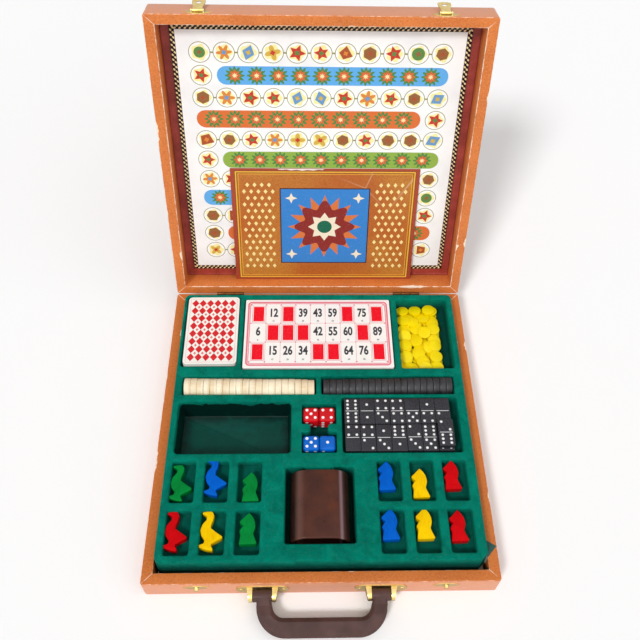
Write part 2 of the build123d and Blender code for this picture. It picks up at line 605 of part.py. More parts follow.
def make_dominoes():
    """Two layers of two rows and one tile on top; one place of the lower layer is empty."""
    tile = Box(DOMINO_WIDTH, DOMINO_LENGTH, DOMINO_THICKNESS)
    left = LAYOUT_SHIFT + DOMINO_POCKET_X - DOMINO_POCKET_WIDTH / 2 + DOMINO_SIDE_GAP
    floor_z = TRAY_TOP_Z - DOMINO_POCKET_DEPTH
    tiles = []
    for layer in range(2):
        for row in (1, -1):
            for column in range(DOMINOES_PER_ROW):
                if (layer, row, column) == (0, 1, 3):
                    continue
                x = left + DOMINO_WIDTH / 2 + column * DOMINO_PITCH
                y = DOMINO_POCKET_Y + row * (DOMINO_LENGTH + DOMINO_ROW_GAP) / 2
                z = floor_z + (layer + 0.5) * DOMINO_THICKNESS
                tiles.append(Pos(x, y, z) * tile)
    top_x = left + DOMINO_WIDTH / 2 + (DOMINOES_PER_ROW - 1) * DOMINO_PITCH
    top_y = DOMINO_POCKET_Y - DOMINO_LENGTH / 2 + DOMINO_TOP_SHIFT
    tiles.append(Pos(top_x, top_y, floor_z + 2.5 * DOMINO_THICKNESS) * tile)
    write("dominoes", Compound(tiles))


def goose_outline():
    """Goose with its beak to the left and its foot at y = 0, drawn one unit high."""
    tail = Polyline((0.05, 0.017), (0.025, 0.144), (0.139, 0.241), (0.271, 0.305), (0.285, 0.352),
                    (0.119, 0.471))
    nape = ThreePointArc((0.119, 0.471), (-0.014, 0.623), (0.025, 0.776))
    head = ThreePointArc((0.025, 0.776), (0.011, 0.975), (-0.111, 1))
    beak = Polyline((-0.111, 1), (-0.238, 0.97), (-0.233, 0.914), (-0.125, 0.87), (-0.144, 0.748))
    breast = ThreePointArc((-0.144, 0.748), (-0.266, 0.515), (-0.141, 0.26))
    foot = Polyline((-0.141, 0.26), (-0.166, 0.186), (-0.283, 0.144), (-0.283, 0.094), (0.039, 0),
                    (0.05, 0.017))
    return scale(make_face(tail + nape + head + beak + breast + foot), by=GOOSE_HEIGHT)


def horse_outline():
    """Horse's head on a flared base, muzzle to the left and foot at y = 0, one unit high."""
    back = Polyline((0.273, 0.042), (0.187, 0.242), (0.187, 0.346))
    mane = ThreePointArc((0.187, 0.346), (0.208, 0.623), (0.007, 1))
    face = Polyline((0.007, 1), (-0.173, 0.827), (-0.273, 0.74), (-0.266, 0.671), (-0.152, 0.592))
    chest = Polyline((-0.152, 0.592), (-0.256, 0.45), (-0.228, 0.277), (-0.273, 0.042))
    foot = Polyline((-0.273, 0.042), (-0.273, 0), (0.273, 0), (0.273, 0.042))
    return scale(make_face(back + mane + face + chest + foot), by=HORSE_HEIGHT)


def make_pawns():
    """Flat cut-out figures lying in the twelve small pockets."""
    goose = extrude(goose_outline(), PAWN_THICKNESS)
    horse = extrude(horse_outline(), PAWN_THICKNESS)
    z = TRAY_TOP_Z - PAWN_POCKET_DEPTH
    left_back, left_front, right_back, right_front = pawn_places()
    goose_foot = PAWN_POCKET_LENGTH / 2 - GOOSE_FOOT_GAP
    horse_foot = PAWN_POCKET_LENGTH / 2 - HORSE_FOOT_GAP
    geese = {"green": left_back[0], "blue": left_back[1], "red": left_front[0], "yellow": left_front[1]}
    horses = {"green": (left_back[2], left_front[2]), "blue": (right_back[0], right_front[0]),
              "yellow": (right_back[1], right_front[1]), "red": (right_back[2], right_front[2])}
    for colour, (x, y) in geese.items():
        write(f"goose_{colour}", Pos(LAYOUT_SHIFT + x, y - goose_foot, z) * goose)
    for colour, places in horses.items():
        pair = [Pos(LAYOUT_SHIFT + x, y - horse_foot, z) * horse for x, y in places]
        write(f"horses_{colour}", Compound(pair))


def make_dice_cup():
    """Cup of flattened section lying on its side with its mouth to the front."""
    hanging = Plane(origin=(0, 0, 0), x_dir=(1, 0, 0), z_dir=(0, 1, 0))
    outer = extrude(hanging * RectangleRounded(CUP_WIDTH, CUP_HEIGHT, CUP_CORNER_RADIUS), CUP_LENGTH)
    bore_plan = RectangleRounded(CUP_WIDTH - 2 * CUP_WALL, CUP_HEIGHT - 2 * CUP_WALL,
                                 CUP_CORNER_RADIUS - CUP_WALL)
    bore = extrude(hanging * bore_plan, CUP_LENGTH - CUP_FLOOR)
    cup = outer - bore
    y = CUP_POCKET_Y - CUP_LENGTH / 2 + CUP_BACK_SHIFT
    z = TRAY_TOP_Z - CUP_POCKET_DEPTH + CUP_HEIGHT / 2
    write("dice_cup", Pos(LAYOUT_SHIFT, y, z) * cup)


# ---------------------------------------------------------------- handle

def bracket_ear(side):
    """Cast ear beside the barrel: straight towards it, tapered on its outer side."""
    inner = BARREL_LENGTH / 2 + BARREL_GAP
    tip = HANDLE_AXIS_OUT + BRACKET_EAR_RADIUS
    plan = Polyline((inner, 0), (inner + BRACKET_EAR_ROOT, 0), (inner + BRACKET_EAR_TIP, -tip),
                    (inner, -tip), close=True)
    block = extrude(make_face(plan), BRACKET_EAR_RADIUS, both=True)
    side_plane = Plane(origin=(0, 0, 0), x_dir=(0, 1, 0), z_dir=(1, 0, 0))
    profile = Circle(BRACKET_EAR_RADIUS) + Rectangle(HANDLE_AXIS_OUT, 2 * BRACKET_EAR_RADIUS,
                                                     align=(Align.MIN, Align.CENTER))
    profile = extrude(side_plane * Pos(-HANDLE_AXIS_OUT, 0) * profile, BRACKET_LENGTH, both=True)
    ear = block & profile
    return ear if side > 0 else mirror(ear, about=Plane.YZ)


def make_brackets():
    """Plates with a pair of ears each, and the pins held between the ears."""
    plate = extrude(Plane.XZ * SlotOverall(BRACKET_LENGTH, BRACKET_HEIGHT), BRACKET_PLATE)
    bracket = plate + bracket_ear(1) + bracket_ear(-1)
    pins = []
    pin_length = BARREL_LENGTH + 2 * BARREL_GAP
    for name, centre in (("left", -BRACKET_SPACING / 2), ("right", BRACKET_SPACING / 2)):
        write(f"handle_bracket_{name}", Pos(centre, FRONT_Y, BRACKET_Z) * bracket)
        pins.append(cylinder_x(HANDLE_PIN_DIAMETER / 2, pin_length, centre,
                               FRONT_Y - HANDLE_AXIS_OUT, BRACKET_Z))
    write("handle_pins", Compound(pins))


def handle_plan():
    """Outline of the handle seen square to it, with its axis along y = 0."""
    outer = HANDLE_SPAN / 2
    leg_inner = outer - LEG_WIDTH
    inner_reach = HANDLE_REACH - GRIP_WIDTH
    knee = outer - GRIP_WIDTH
    outline = Polyline((outer, 0), (outer, -HANDLE_REACH), (-outer, -HANDLE_REACH), (-outer, 0),
                       (-leg_inner, 0), (-knee, -inner_reach), (knee, -inner_reach),
                       (leg_inner, 0), close=True)
    face = make_face(outline)
    corners = face.vertices().group_by(Axis.Y)
    face = fillet(corners[0], HANDLE_OUTER_RADIUS)
    knees = [v for v in face.vertices() if abs(abs(v.X) - knee) < PIN_FIT and
             abs(v.Y + inner_reach) < PIN_FIT]
    return fillet(knees, HANDLE_INNER_RADIUS)


def make_handle():
    """Padded bail on two barrels, thinner at the legs, hanging down by its droop."""
    body = extrude(handle_plan(), GRIP_THICKNESS / 2, both=True)
    body = chamfer(body.faces().sort_by(Axis.Z)[-1].edges() + body.faces().sort_by(Axis.Z)[0].edges(),
                   HANDLE_EASE)
    half_leg = LEG_THICKNESS / 2
    half_grip = GRIP_THICKNESS / 2
    thick_from = 2 * LEG_STRAIGHT
    side_plane = Plane(origin=(0, 0, 0), x_dir=(0, 1, 0), z_dir=(1, 0, 0))
    profile = Polyline((0, half_leg), (-LEG_STRAIGHT, half_leg), (-thick_from, half_grip),
                       (-HANDLE_REACH, half_grip), (-HANDLE_REACH, -half_grip),
                       (-thick_from, -half_grip), (-LEG_STRAIGHT, -half_leg), (0, -half_leg),
                       close=True)
    body &= extrude(side_plane * make_face(profile), HANDLE_SPAN, both=True)
    for side in (-1, 1):
        x = side * BRACKET_SPACING / 2
        body += cylinder_x(BARREL_DIAMETER / 2, BARREL_LENGTH, x, 0, 0)
    bore = HANDLE_PIN_DIAMETER / 2 + RUNNING_FIT
    body -= cylinder_x(bore, CASE_WIDTH, 0, 0, 0)
    place = Pos(0, FRONT_Y - HANDLE_AXIS_OUT, BRACKET_Z) * Rot(HANDLE_DROOP, 0, 0)
    write("handle", place * body)


# ---------------------------------------------------------------- latches

def latch_places():
    return (("left", -LATCH_SPACING / 2), ("right", LATCH_SPACING / 2))


def make_latch_plates():
    """Oval plates on the lid's front rail with two ears each for the hasp's pin."""
    plate = extrude(Plane.XZ * lens(LATCH_PLATE_WIDTH, LATCH_PLATE_HEIGHT), LATCH_PLATE_THICKNESS)
    plate = Pos(0, 0, LATCH_PLATE_DEPTH - LATCH_PIVOT_DEPTH) * plate
    ear_x = HASP_NECK_WIDTH / 2 + HINGE_GAP
    side_plane = Plane(origin=(ear_x, 0, 0), x_dir=(0, 1, 0), z_dir=(1, 0, 0))
    profile = Pos(-LATCH_PIVOT_OUT, 0) * (
        Circle(LATCH_EAR_RADIUS) + Rectangle(LATCH_PIVOT_OUT, 2 * LATCH_EAR_RADIUS,
                                             align=(Align.MIN, Align.CENTER)))
    ear = extrude(side_plane * profile, LATCH_EAR_THICKNESS)
    plate = plate + ear + mirror(ear, about=Plane.YZ)
    pins = []
    pin_length = HASP_NECK_WIDTH + 2 * HINGE_GAP
    for name, x in latch_places():
        write(f"latch_plate_{name}", opened(Pos(x, FRONT_Y, PIVOT_Z) * plate))
        pins.append(opened(cylinder_x(LATCH_PIN_DIAMETER / 2, pin_length, x,
                                      FRONT_Y - LATCH_PIVOT_OUT, PIVOT_Z)))
    write("latch_pins", Compound(pins))


def hasp_outline():
    """Strip hanging from its pin at y = 0: notched neck, flared rounded head, hole."""
    neck = HASP_NECK_WIDTH / 2
    head = HASP_HEAD_WIDTH / 2
    flare_from = -HASP_LENGTH / 3
    widest = -HASP_HOLE_DISTANCE
    shoulder = -HASP_LENGTH + HASP_TIP_RISE
    right = Polyline((neck, 0), (neck, flare_from), (head, widest), (head, shoulder))
    tip = ThreePointArc((head, shoulder), (0, -HASP_LENGTH), (-head, shoulder))
    left = Polyline((-head, shoulder), (-head, widest), (-neck, flare_from), (-neck, 0))
    top = Line((-neck, 0), (neck, 0))
    face = make_face(right + tip + left + top)
    notch = Rot(0, 0, 45) * Rectangle(HASP_NOTCH, HASP_NOTCH)
    face -= Pos(-neck, flare_from) * notch + Pos(neck, flare_from) * notch
    return face - Pos(0, -HASP_HOLE_DISTANCE) * Circle(HASP_HOLE_DIAMETER / 2)


def make_hasps():
    """Swinging straps, rolled round their pins and folded back against the lid's front."""
    strap = extrude(Plane.XZ * hasp_outline(), HASP_THICKNESS / 2, both=True)
    strap += cylinder_x(HASP_KNUCKLE_DIAMETER / 2, HASP_NECK_WIDTH, 0, 0, 0)
    strap -= cylinder_x(LATCH_PIN_DIAMETER / 2 + RUNNING_FIT, HASP_HEAD_WIDTH, 0, 0, 0)
    for name, x in latch_places():
        folded = Pos(x, FRONT_Y - LATCH_PIVOT_OUT, PIVOT_Z) * Rot(-HASP_SWING, 0, 0) * strap
        write(f"hasp_{name}", opened(folded))


def make_keepers():
    """Oval plates on the base's front rail with the stud that the hasp snaps over."""
    plate = extrude(Plane.XZ * lens(KEEPER_WIDTH, KEEPER_HEIGHT), LATCH_PLATE_THICKNESS)
    stud = Cylinder(STUD_DIAMETER / 2, STUD_OUT, align=(Align.CENTER, Align.CENTER, Align.MIN))
    keeper = plate + Pos(0, 0, STUD_Z - KEEPER_Z) * Rot(90, 0, 0) * stud
    for name, x in latch_places():
        write(f"keeper_{name}", Pos(x, FRONT_Y, KEEPER_Z) * keeper)


# ---------------------------------------------------------------- hinges

def hinge_places():
    return (-HINGE_SPACING / 2, HINGE_SPACING / 2)


def hinge_leaf(own, other):
    """Leaf below its pin: own and other knuckles as (centre, length) along X."""
    radius = HINGE_KNUCKLE_DIAMETER / 2
    leaf = Box(HINGE_WIDTH, LEAF_THICKNESS, LEAF_LENGTH, align=(Align.CENTER, Align.MIN, Align.MAX))
    for centre, length in other:
        leaf -= cylinder_x(radius + HINGE_GAP, length + 2 * HINGE_GAP, centre, 0, 0)
    for centre, length in own:
        leaf += cylinder_x(radius, length, centre, 0, 0)
    half_opening = math.radians((180 - LID_OPEN_ANGLE) / 2)
    slack = STOP_GAP / 2 / math.cos(half_opening)
    near = STOP_LUG_OFFSET
    far = STOP_LUG_OFFSET + STOP_LUG_THICKNESS
    lug = Polyline((0, -near), (near * math.tan(half_opening) - slack, -near),
                   (far * math.tan(half_opening) - slack, -far), (0, -far), close=True)
    side_plane = Plane(origin=(0, 0, 0), x_dir=(0, 1, 0), z_dir=(1, 0, 0))
    leaf += extrude(side_plane * make_face(lug), STOP_LUG_WIDTH / 2, both=True)
    return leaf


def make_hinges():
    """Box stop hinges: their lugs meet when the lid is fully open."""
    side_length = (HINGE_WIDTH - HINGE_CENTRE_KNUCKLE) / 2 - HINGE_GAP
    side_centre = (HINGE_WIDTH - side_length) / 2
    centre_knuckle = [(0, HINGE_CENTRE_KNUCKLE)]
    side_knuckles = [(-side_centre, side_length), (side_centre, side_length)]
    pin_radius = HINGE_PIN_DIAMETER / 2
    pin_length = HINGE_CENTRE_KNUCKLE + 2 * HINGE_GAP
    base_leaf = hinge_leaf(side_knuckles, centre_knuckle)
    lid_leaf = hinge_leaf(centre_knuckle, side_knuckles)
    lid_leaf -= cylinder_x(pin_radius + RUNNING_FIT, HINGE_CENTRE_KNUCKLE, 0, 0, 0)
    lid_leaf = mirror(lid_leaf, about=Plane.XY)
    pins = []
    for name, x in zip(("left", "right"), hinge_places()):
        place = Pos(x, BACK_Y, HINGE_Z)
        write(f"hinge_base_leaf_{name}", place * base_leaf)
        write(f"hinge_lid_leaf_{name}", opened(place * lid_leaf))
        pins.append(cylinder_x(pin_radius, pin_length, x, BACK_Y, HINGE_Z))
    write("hinge_pins", Compound(pins))


def main():
    os.makedirs("parts", exist_ok=True)
    make_base_case()
    make_lid_case()
    make_leaflet()
    make_folded_boards()
    make_tray()
    make_lift_tab()
    make_cards()
    make_counters()
    make_draughts()
    make_dice()
    make_dominoes()
    make_pawns()
    make_dice_cup()
    make_brackets()
    make_handle()
    make_latch_plates()
    make_hasps()
    make_keepers()
    make_hinges()


main()
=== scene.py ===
import math
import random
from functools import partial

import bmesh
import bpy
from bpy.props import FloatProperty, FloatVectorProperty, IntProperty, PointerProperty
from mathutils import Matrix, Vector


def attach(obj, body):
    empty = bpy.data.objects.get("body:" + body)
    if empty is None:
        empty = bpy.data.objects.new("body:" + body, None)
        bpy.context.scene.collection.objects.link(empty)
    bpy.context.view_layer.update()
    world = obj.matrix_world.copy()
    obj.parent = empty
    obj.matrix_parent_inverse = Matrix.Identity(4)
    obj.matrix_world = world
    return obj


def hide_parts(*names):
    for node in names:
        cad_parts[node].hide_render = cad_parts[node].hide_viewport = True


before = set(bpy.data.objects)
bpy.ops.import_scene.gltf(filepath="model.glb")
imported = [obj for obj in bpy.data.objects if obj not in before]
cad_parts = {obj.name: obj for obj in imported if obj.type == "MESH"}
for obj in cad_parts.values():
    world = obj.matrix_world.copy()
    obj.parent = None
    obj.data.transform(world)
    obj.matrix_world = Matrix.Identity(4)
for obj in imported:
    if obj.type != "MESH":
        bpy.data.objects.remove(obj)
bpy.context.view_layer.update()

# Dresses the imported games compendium: covering, flock, print, wood, plastic and brass, in metres.

bl_info = {
    "name": "Games Compendium Case",
    "version": (1, 0, 0),
    "blender": (4, 5, 0),
    "location": "3D View > Sidebar > Games Case",
    "description": "Models and finishes the pieces of a hinged games compendium case",
    "category": "Object",
}

MM = 0.001


# ---------------------------------------------------------------- sizes shared with the frame

LID_OPEN = math.radians(103.36)
HINGE = Vector((0.0, 0.160, 0.02775))
LID_TURN = (Matrix.Translation(HINGE) @ Matrix.Rotation(-LID_OPEN, 4, "X")
            @ Matrix.Translation(-HINGE))
RIM_Z = 27.5                 # top of the base's rim
LID_RIM_Z = 28.0             # the lid's rim when shut
LID_TOP_Z = 54.4
LINING_Z = 51.0
HALF_CASE = 160.0
HALF_INSIDE = 150.0
RAIL = HALF_CASE - HALF_INSIDE
PANEL = 3.0                  # thickness of the panels, and how far they reach into the rails
PANEL_LEDGE = 5.0
TRAY_Z = 11.0
TRAY_TOP_Z = 40.5
TRAY_CENTRE_Y = 1.92
TRAY_WIDTH = 296.4
TRAY_DEPTH = 293.9
# race board: pitch of its stations, height and number of its rows, and scale of a station
TRACK_PITCH = 23.0
TRACK_TOP = 115.0
TRACK_ROWS = 6
STATION_SCALE = 0.92
# places in the tray, by the middle of each pocket
DECK_PLACE = (-116.005, 100.996)
LOTO_PLACE = (-1.2, 97.496)
COUNTER_PLACE = (114.003, 97.496)
TROUGH_Y = 32.843
TROUGH_X = (-72.201, 69.801)
DRAUGHT_PITCH = 6.65
SPARE_PLACE = (-85.306, -14.107)
SPARE_POCKET = (113.0, 56.2)
DICE_PLACE = (-1.2, -15.506)
DICE_STEP_Y = 15.5
DOMINO_PLACE = (80.196, -11.707)
CUP_PLACE = (-1.2, -94.907)
PAWN_COLUMNS = (-130.0, -98.6, -67.2, 64.8, 96.2, 127.6)
PAWN_ROWS = (-70.507, -118.807)
PAWN_Z = 30.05               # underside of the pawns
DIE = 16.0
DOMINO_POCKET = (117.3, 60.7)
TILE_STEP = (15.25, 14.45)   # pitch of the dominoes across, and half their pitch along
COUNTER = (14.0, 1.1)        # diameter and thickness
HINGE_X = 100.0              # middle of each hinge, either side of the box's middle


# ---------------------------------------------------------------- modelling helpers, in mm

def clear_selection():
    """Leave edit mode and deselect every object."""
    if bpy.context.object and bpy.context.object.mode != "OBJECT":
        bpy.ops.object.mode_set(mode="OBJECT")
    bpy.ops.object.select_all(action="DESELECT")


def activate(piece):
    clear_selection()
    piece.select_set(True)
    bpy.context.view_layer.objects.active = piece


def edit(piece, kind="VERT"):
    """Enter edit mode with everything selected."""
    activate(piece)
    bpy.ops.object.mode_set(mode="EDIT")
    bpy.ops.mesh.select_mode(type=kind)
    bpy.ops.mesh.select_all(action="SELECT")


def pick(kind, test):
    """Select the faces, edges or vertices of the mesh in edit mode that pass the test."""
    bpy.ops.mesh.select_mode(type=kind)
    bpy.ops.mesh.select_all(action="DESELECT")
    mesh = bpy.context.edit_object.data
    shape = bmesh.from_edit_mesh(mesh)
    elements = {"FACE": shape.faces, "EDGE": shape.edges, "VERT": shape.verts}[kind]
    for element in elements:
        if test(element):
            element.select_set(True)
    shape.select_flush_mode()
    bmesh.update_edit_mesh(mesh)


def middle(edge):
    return (edge.verts[0].co + edge.verts[1].co) / 2


def leave():
    bpy.ops.object.mode_set(mode="OBJECT")


def finish_modifier(piece, kind, **settings):
    """Add a modifier and apply it."""
    activate(piece)
    modifier = piece.modifiers.new(kind.title(), kind)
    for key, value in settings.items():
        setattr(modifier, key, value)
    bpy.ops.object.modifier_apply(modifier=modifier.name)


def smooth(piece, degrees=35.0):
    activate(piece)
    bpy.ops.object.shade_smooth_by_angle(angle=math.radians(degrees))


def settle(piece, matrix=None):
    """Move the piece and write its place into its mesh, so that its object sits at the origin."""
    activate(piece)
    if matrix is not None:
        piece.matrix_world = matrix @ piece.matrix_world
    bpy.ops.object.transform_apply(location=True, rotation=True, scale=True)


def at(x, y, z):
    return Matrix.Translation((x * MM, y * MM, z * MM))


def turn(degrees, axis):
    return Matrix.Rotation(math.radians(degrees), 4, axis)


def made(name):
    """The object just made, under its name."""
    piece = bpy.context.object
    piece.name = name
    piece.data.name = name
    return piece


def flat_face(name, points):
    """One flat face through the points: a filled circle whose rim is pulled to them."""
    clear_selection()
    bpy.ops.mesh.primitive_circle_add(vertices=len(points), radius=MM, fill_type="NGON")
    piece = made(name)
    for vertex, point in zip(piece.data.vertices, points):
        vertex.co = (point[0] * MM, point[1] * MM, (point[2] if len(point) > 2 else 0) * MM)
    edit(piece)
    bpy.ops.mesh.normals_make_consistent(inside=False)
    leave()
    if piece.data.polygons[0].normal.z < 0:
        edit(piece)
        bpy.ops.mesh.flip_normals()
        leave()
    return piece


def cylinder(name, diameter, height, sides, middle_z=0.0):
    """Upright cylinder, its rims still sharp."""
    clear_selection()
    bpy.ops.mesh.primitive_cylinder_add(vertices=sides, radius=diameter / 2 * MM, depth=height * MM,
                                        location=(0, 0, middle_z * MM))
    piece = bpy.context.object
    piece.name = name
    return piece


def rectangle(width, length, x=0.0, y=0.0):
    """Corner points, anticlockwise."""
    w = width / 2
    h = length / 2
    return [(x - w, y - h), (x + w, y - h), (x + w, y + h), (x - w, y + h)]


def round_corners(piece, radius, steps=5):
    edit(piece)
    bpy.ops.mesh.bevel(offset=radius * MM, segments=steps, affect="VERTICES")
    leave()


def thicken(piece, height):
    """Pull a flat face up into a solid."""
    edit(piece, "FACE")
    bpy.ops.mesh.extrude_region_move(TRANSFORM_OT_translate={"value": (0, 0, height * MM)})
    bpy.ops.mesh.select_all(action="SELECT")
    bpy.ops.mesh.normals_make_consistent(inside=False)
    leave()


def ease_edges(piece, width, steps=3, angle=50.0):
    finish_modifier(piece, "BEVEL", width=width * MM, segments=steps, limit_method="ANGLE",
                    angle_limit=math.radians(angle), harden_normals=False)


def slab(name, points, height, corner=0.0, rim=0.0, corner_steps=5, rim_steps=3):
    """Flat solid standing on z = 0, with rounded corners and eased rims."""
    piece = flat_face(name, points)
    if corner:
        round_corners(piece, corner, corner_steps)
    thicken(piece, height)
    if rim:
        ease_edges(piece, rim, rim_steps)
    smooth(piece)
    return piece


def profile(steps):
    """Draw the selected face on by insets: each step goes inwards and along the normal."""
    for inwards, along in steps:
        bpy.ops.mesh.inset(thickness=inwards * MM, depth=along * MM, use_even_offset=True)


def quarter(radius, steps, down, start_flat):
    """Steps of a quarter round. It starts along the face, or square to it."""
    result = []
    for index in range(steps):
        a = math.pi / 2 * index / steps
        b = math.pi / 2 * (index + 1) / steps
        along_face = radius * (math.sin(b) - math.sin(a))
        away = radius * (math.cos(a) - math.cos(b))
        if not start_flat:
            along_face, away = away, along_face
        result.append((along_face, -away if down else away))
    return result


def copy_of(piece, name, matrix):
    """A copy with its own mesh, put in its place."""
    twin = piece.copy()
    twin.data = piece.data.copy()
    twin.name = name
    twin.data.name = name
    bpy.context.collection.objects.link(twin)
    settle(twin, matrix)
    return twin


def join(name, pieces):
    activate(pieces[0])
    for piece in pieces:
        piece.select_set(True)
    if len(pieces) > 1:
        bpy.ops.object.join()
    return made(name)


def remove(piece):
    bpy.data.objects.remove(piece, do_unlink=True)


def dress(piece, material, body, replaced=()):
    """Give a finished piece its material, its body and the node that it stands for."""
    if not isinstance(material, (list, tuple)):
        material = [material]
        piece.data.materials.clear()
    for each in material:
        if each.name not in piece.data.materials:
            piece.data.materials.append(each)
    if replaced:
        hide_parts(*replaced)
    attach(piece, body)


def finish_node(name, material, edge=0.0):
    """Material for a node of the frame, and a small break along its edges."""
    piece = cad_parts[name]
    piece.data.materials.clear()
    piece.data.materials.append(material)
    if edge:
        weld = piece.modifiers.new("Weld", "WELD")
        weld.merge_threshold = 0.000005
        rim = piece.modifiers.new("Edge", "BEVEL")
        rim.width = edge * MM
        rim.segments = 2
        rim.limit_method = "ANGLE"
        rim.angle_limit = math.radians(40)


# ---------------------------------------------------------------- material helpers

def linear(code, alpha=1.0):
    """Linear colour from an sRGB hex value."""
    channels = [int(code[i:i + 2], 16) / 255 for i in (1, 3, 5)]
    return tuple(c / 12.92 if c <= 0.04045 else ((c + 0.055) / 1.055) ** 2.4
                 for c in channels) + (alpha,)


def add_node(tree, kind, *values, out=None, ramp=(), **named):
    """Add a shader node and give its output, or the one called out ("all" for every one).

    Values fill the open sockets in order and a capitalised name fills its own socket, each with a
    number, a colour or an output to link. Other names are settings; ramp holds (position, colour)s."""
    node = tree.nodes.new("ShaderNode" + kind)
    for key in [key for key in named if key[0].islower()]:
        setattr(node, key, named.pop(key))
    for element, (position, shade) in zip(node.color_ramp.elements if ramp else (), ramp):
        element.position = position
        element.color = shade
    sockets = [socket for socket in node.inputs if socket.enabled]
    for socket, value in [*zip(sockets, values), *((node.inputs[key], named[key]) for key in named)]:
        if isinstance(value, bpy.types.NodeSocket):
            tree.links.new(value, socket)
        else:
            socket.default_value = value
    if out == "all":
        return node.outputs
    return node.outputs[out] if out is not None else next(s for s in node.outputs if s.enabled)


def socket_of(shader, key):
    """The shader's socket for a name such as base_color."""
    return shader.inputs[key.replace("_", " ").title().replace("Ior", "IOR")]


def new_material(name, **uniform):
    """A material with uniform values set on its shader's sockets, add_node for its tree, and the
    place in the object's coordinates."""
    material = bpy.data.materials.new(name)
    material.use_nodes = True
    for key, value in uniform.items():
        socket_of(material.node_tree.nodes["Principled BSDF"], key).default_value = value
    add = partial(add_node, material.node_tree)
    return material, add, add("TexCoord", out="Object")


def coat(material, **outputs):
    """Link the finished outputs to the shader's sockets of the same names."""
    shader = material.node_tree.nodes["Principled BSDF"]
    for key, output in outputs.items():
        material.node_tree.links.new(output, socket_of(shader, key))
    return material


def over(add, face, code, cause, *steps):
    """The face under another colour, as strong as the cause is once mapped by the steps."""
    amount = add("MapRange", cause, *steps)
    return add("Mix", amount, face, linear(code), data_type="RGBA")


# ---------------------------------------------------------------- materials

def case_coordinates(add, place, on_lid):
    """Place on the shut case: x, y, and depth below the rim, whichever half the piece is in."""
    if on_lid:
        back = Matrix.Rotation(LID_OPEN, 3, "X")
        shift = HINGE - back @ HINGE
        return add("Mapping", Vector=place, Rotation=(LID_OPEN, 0, 0),
                   Location=(shift.x, shift.y, shift.z - LID_RIM_Z * MM))
    return add("Mapping", Vector=place, Scale=(1, 1, -1), Location=(0, 0, RIM_Z * MM))


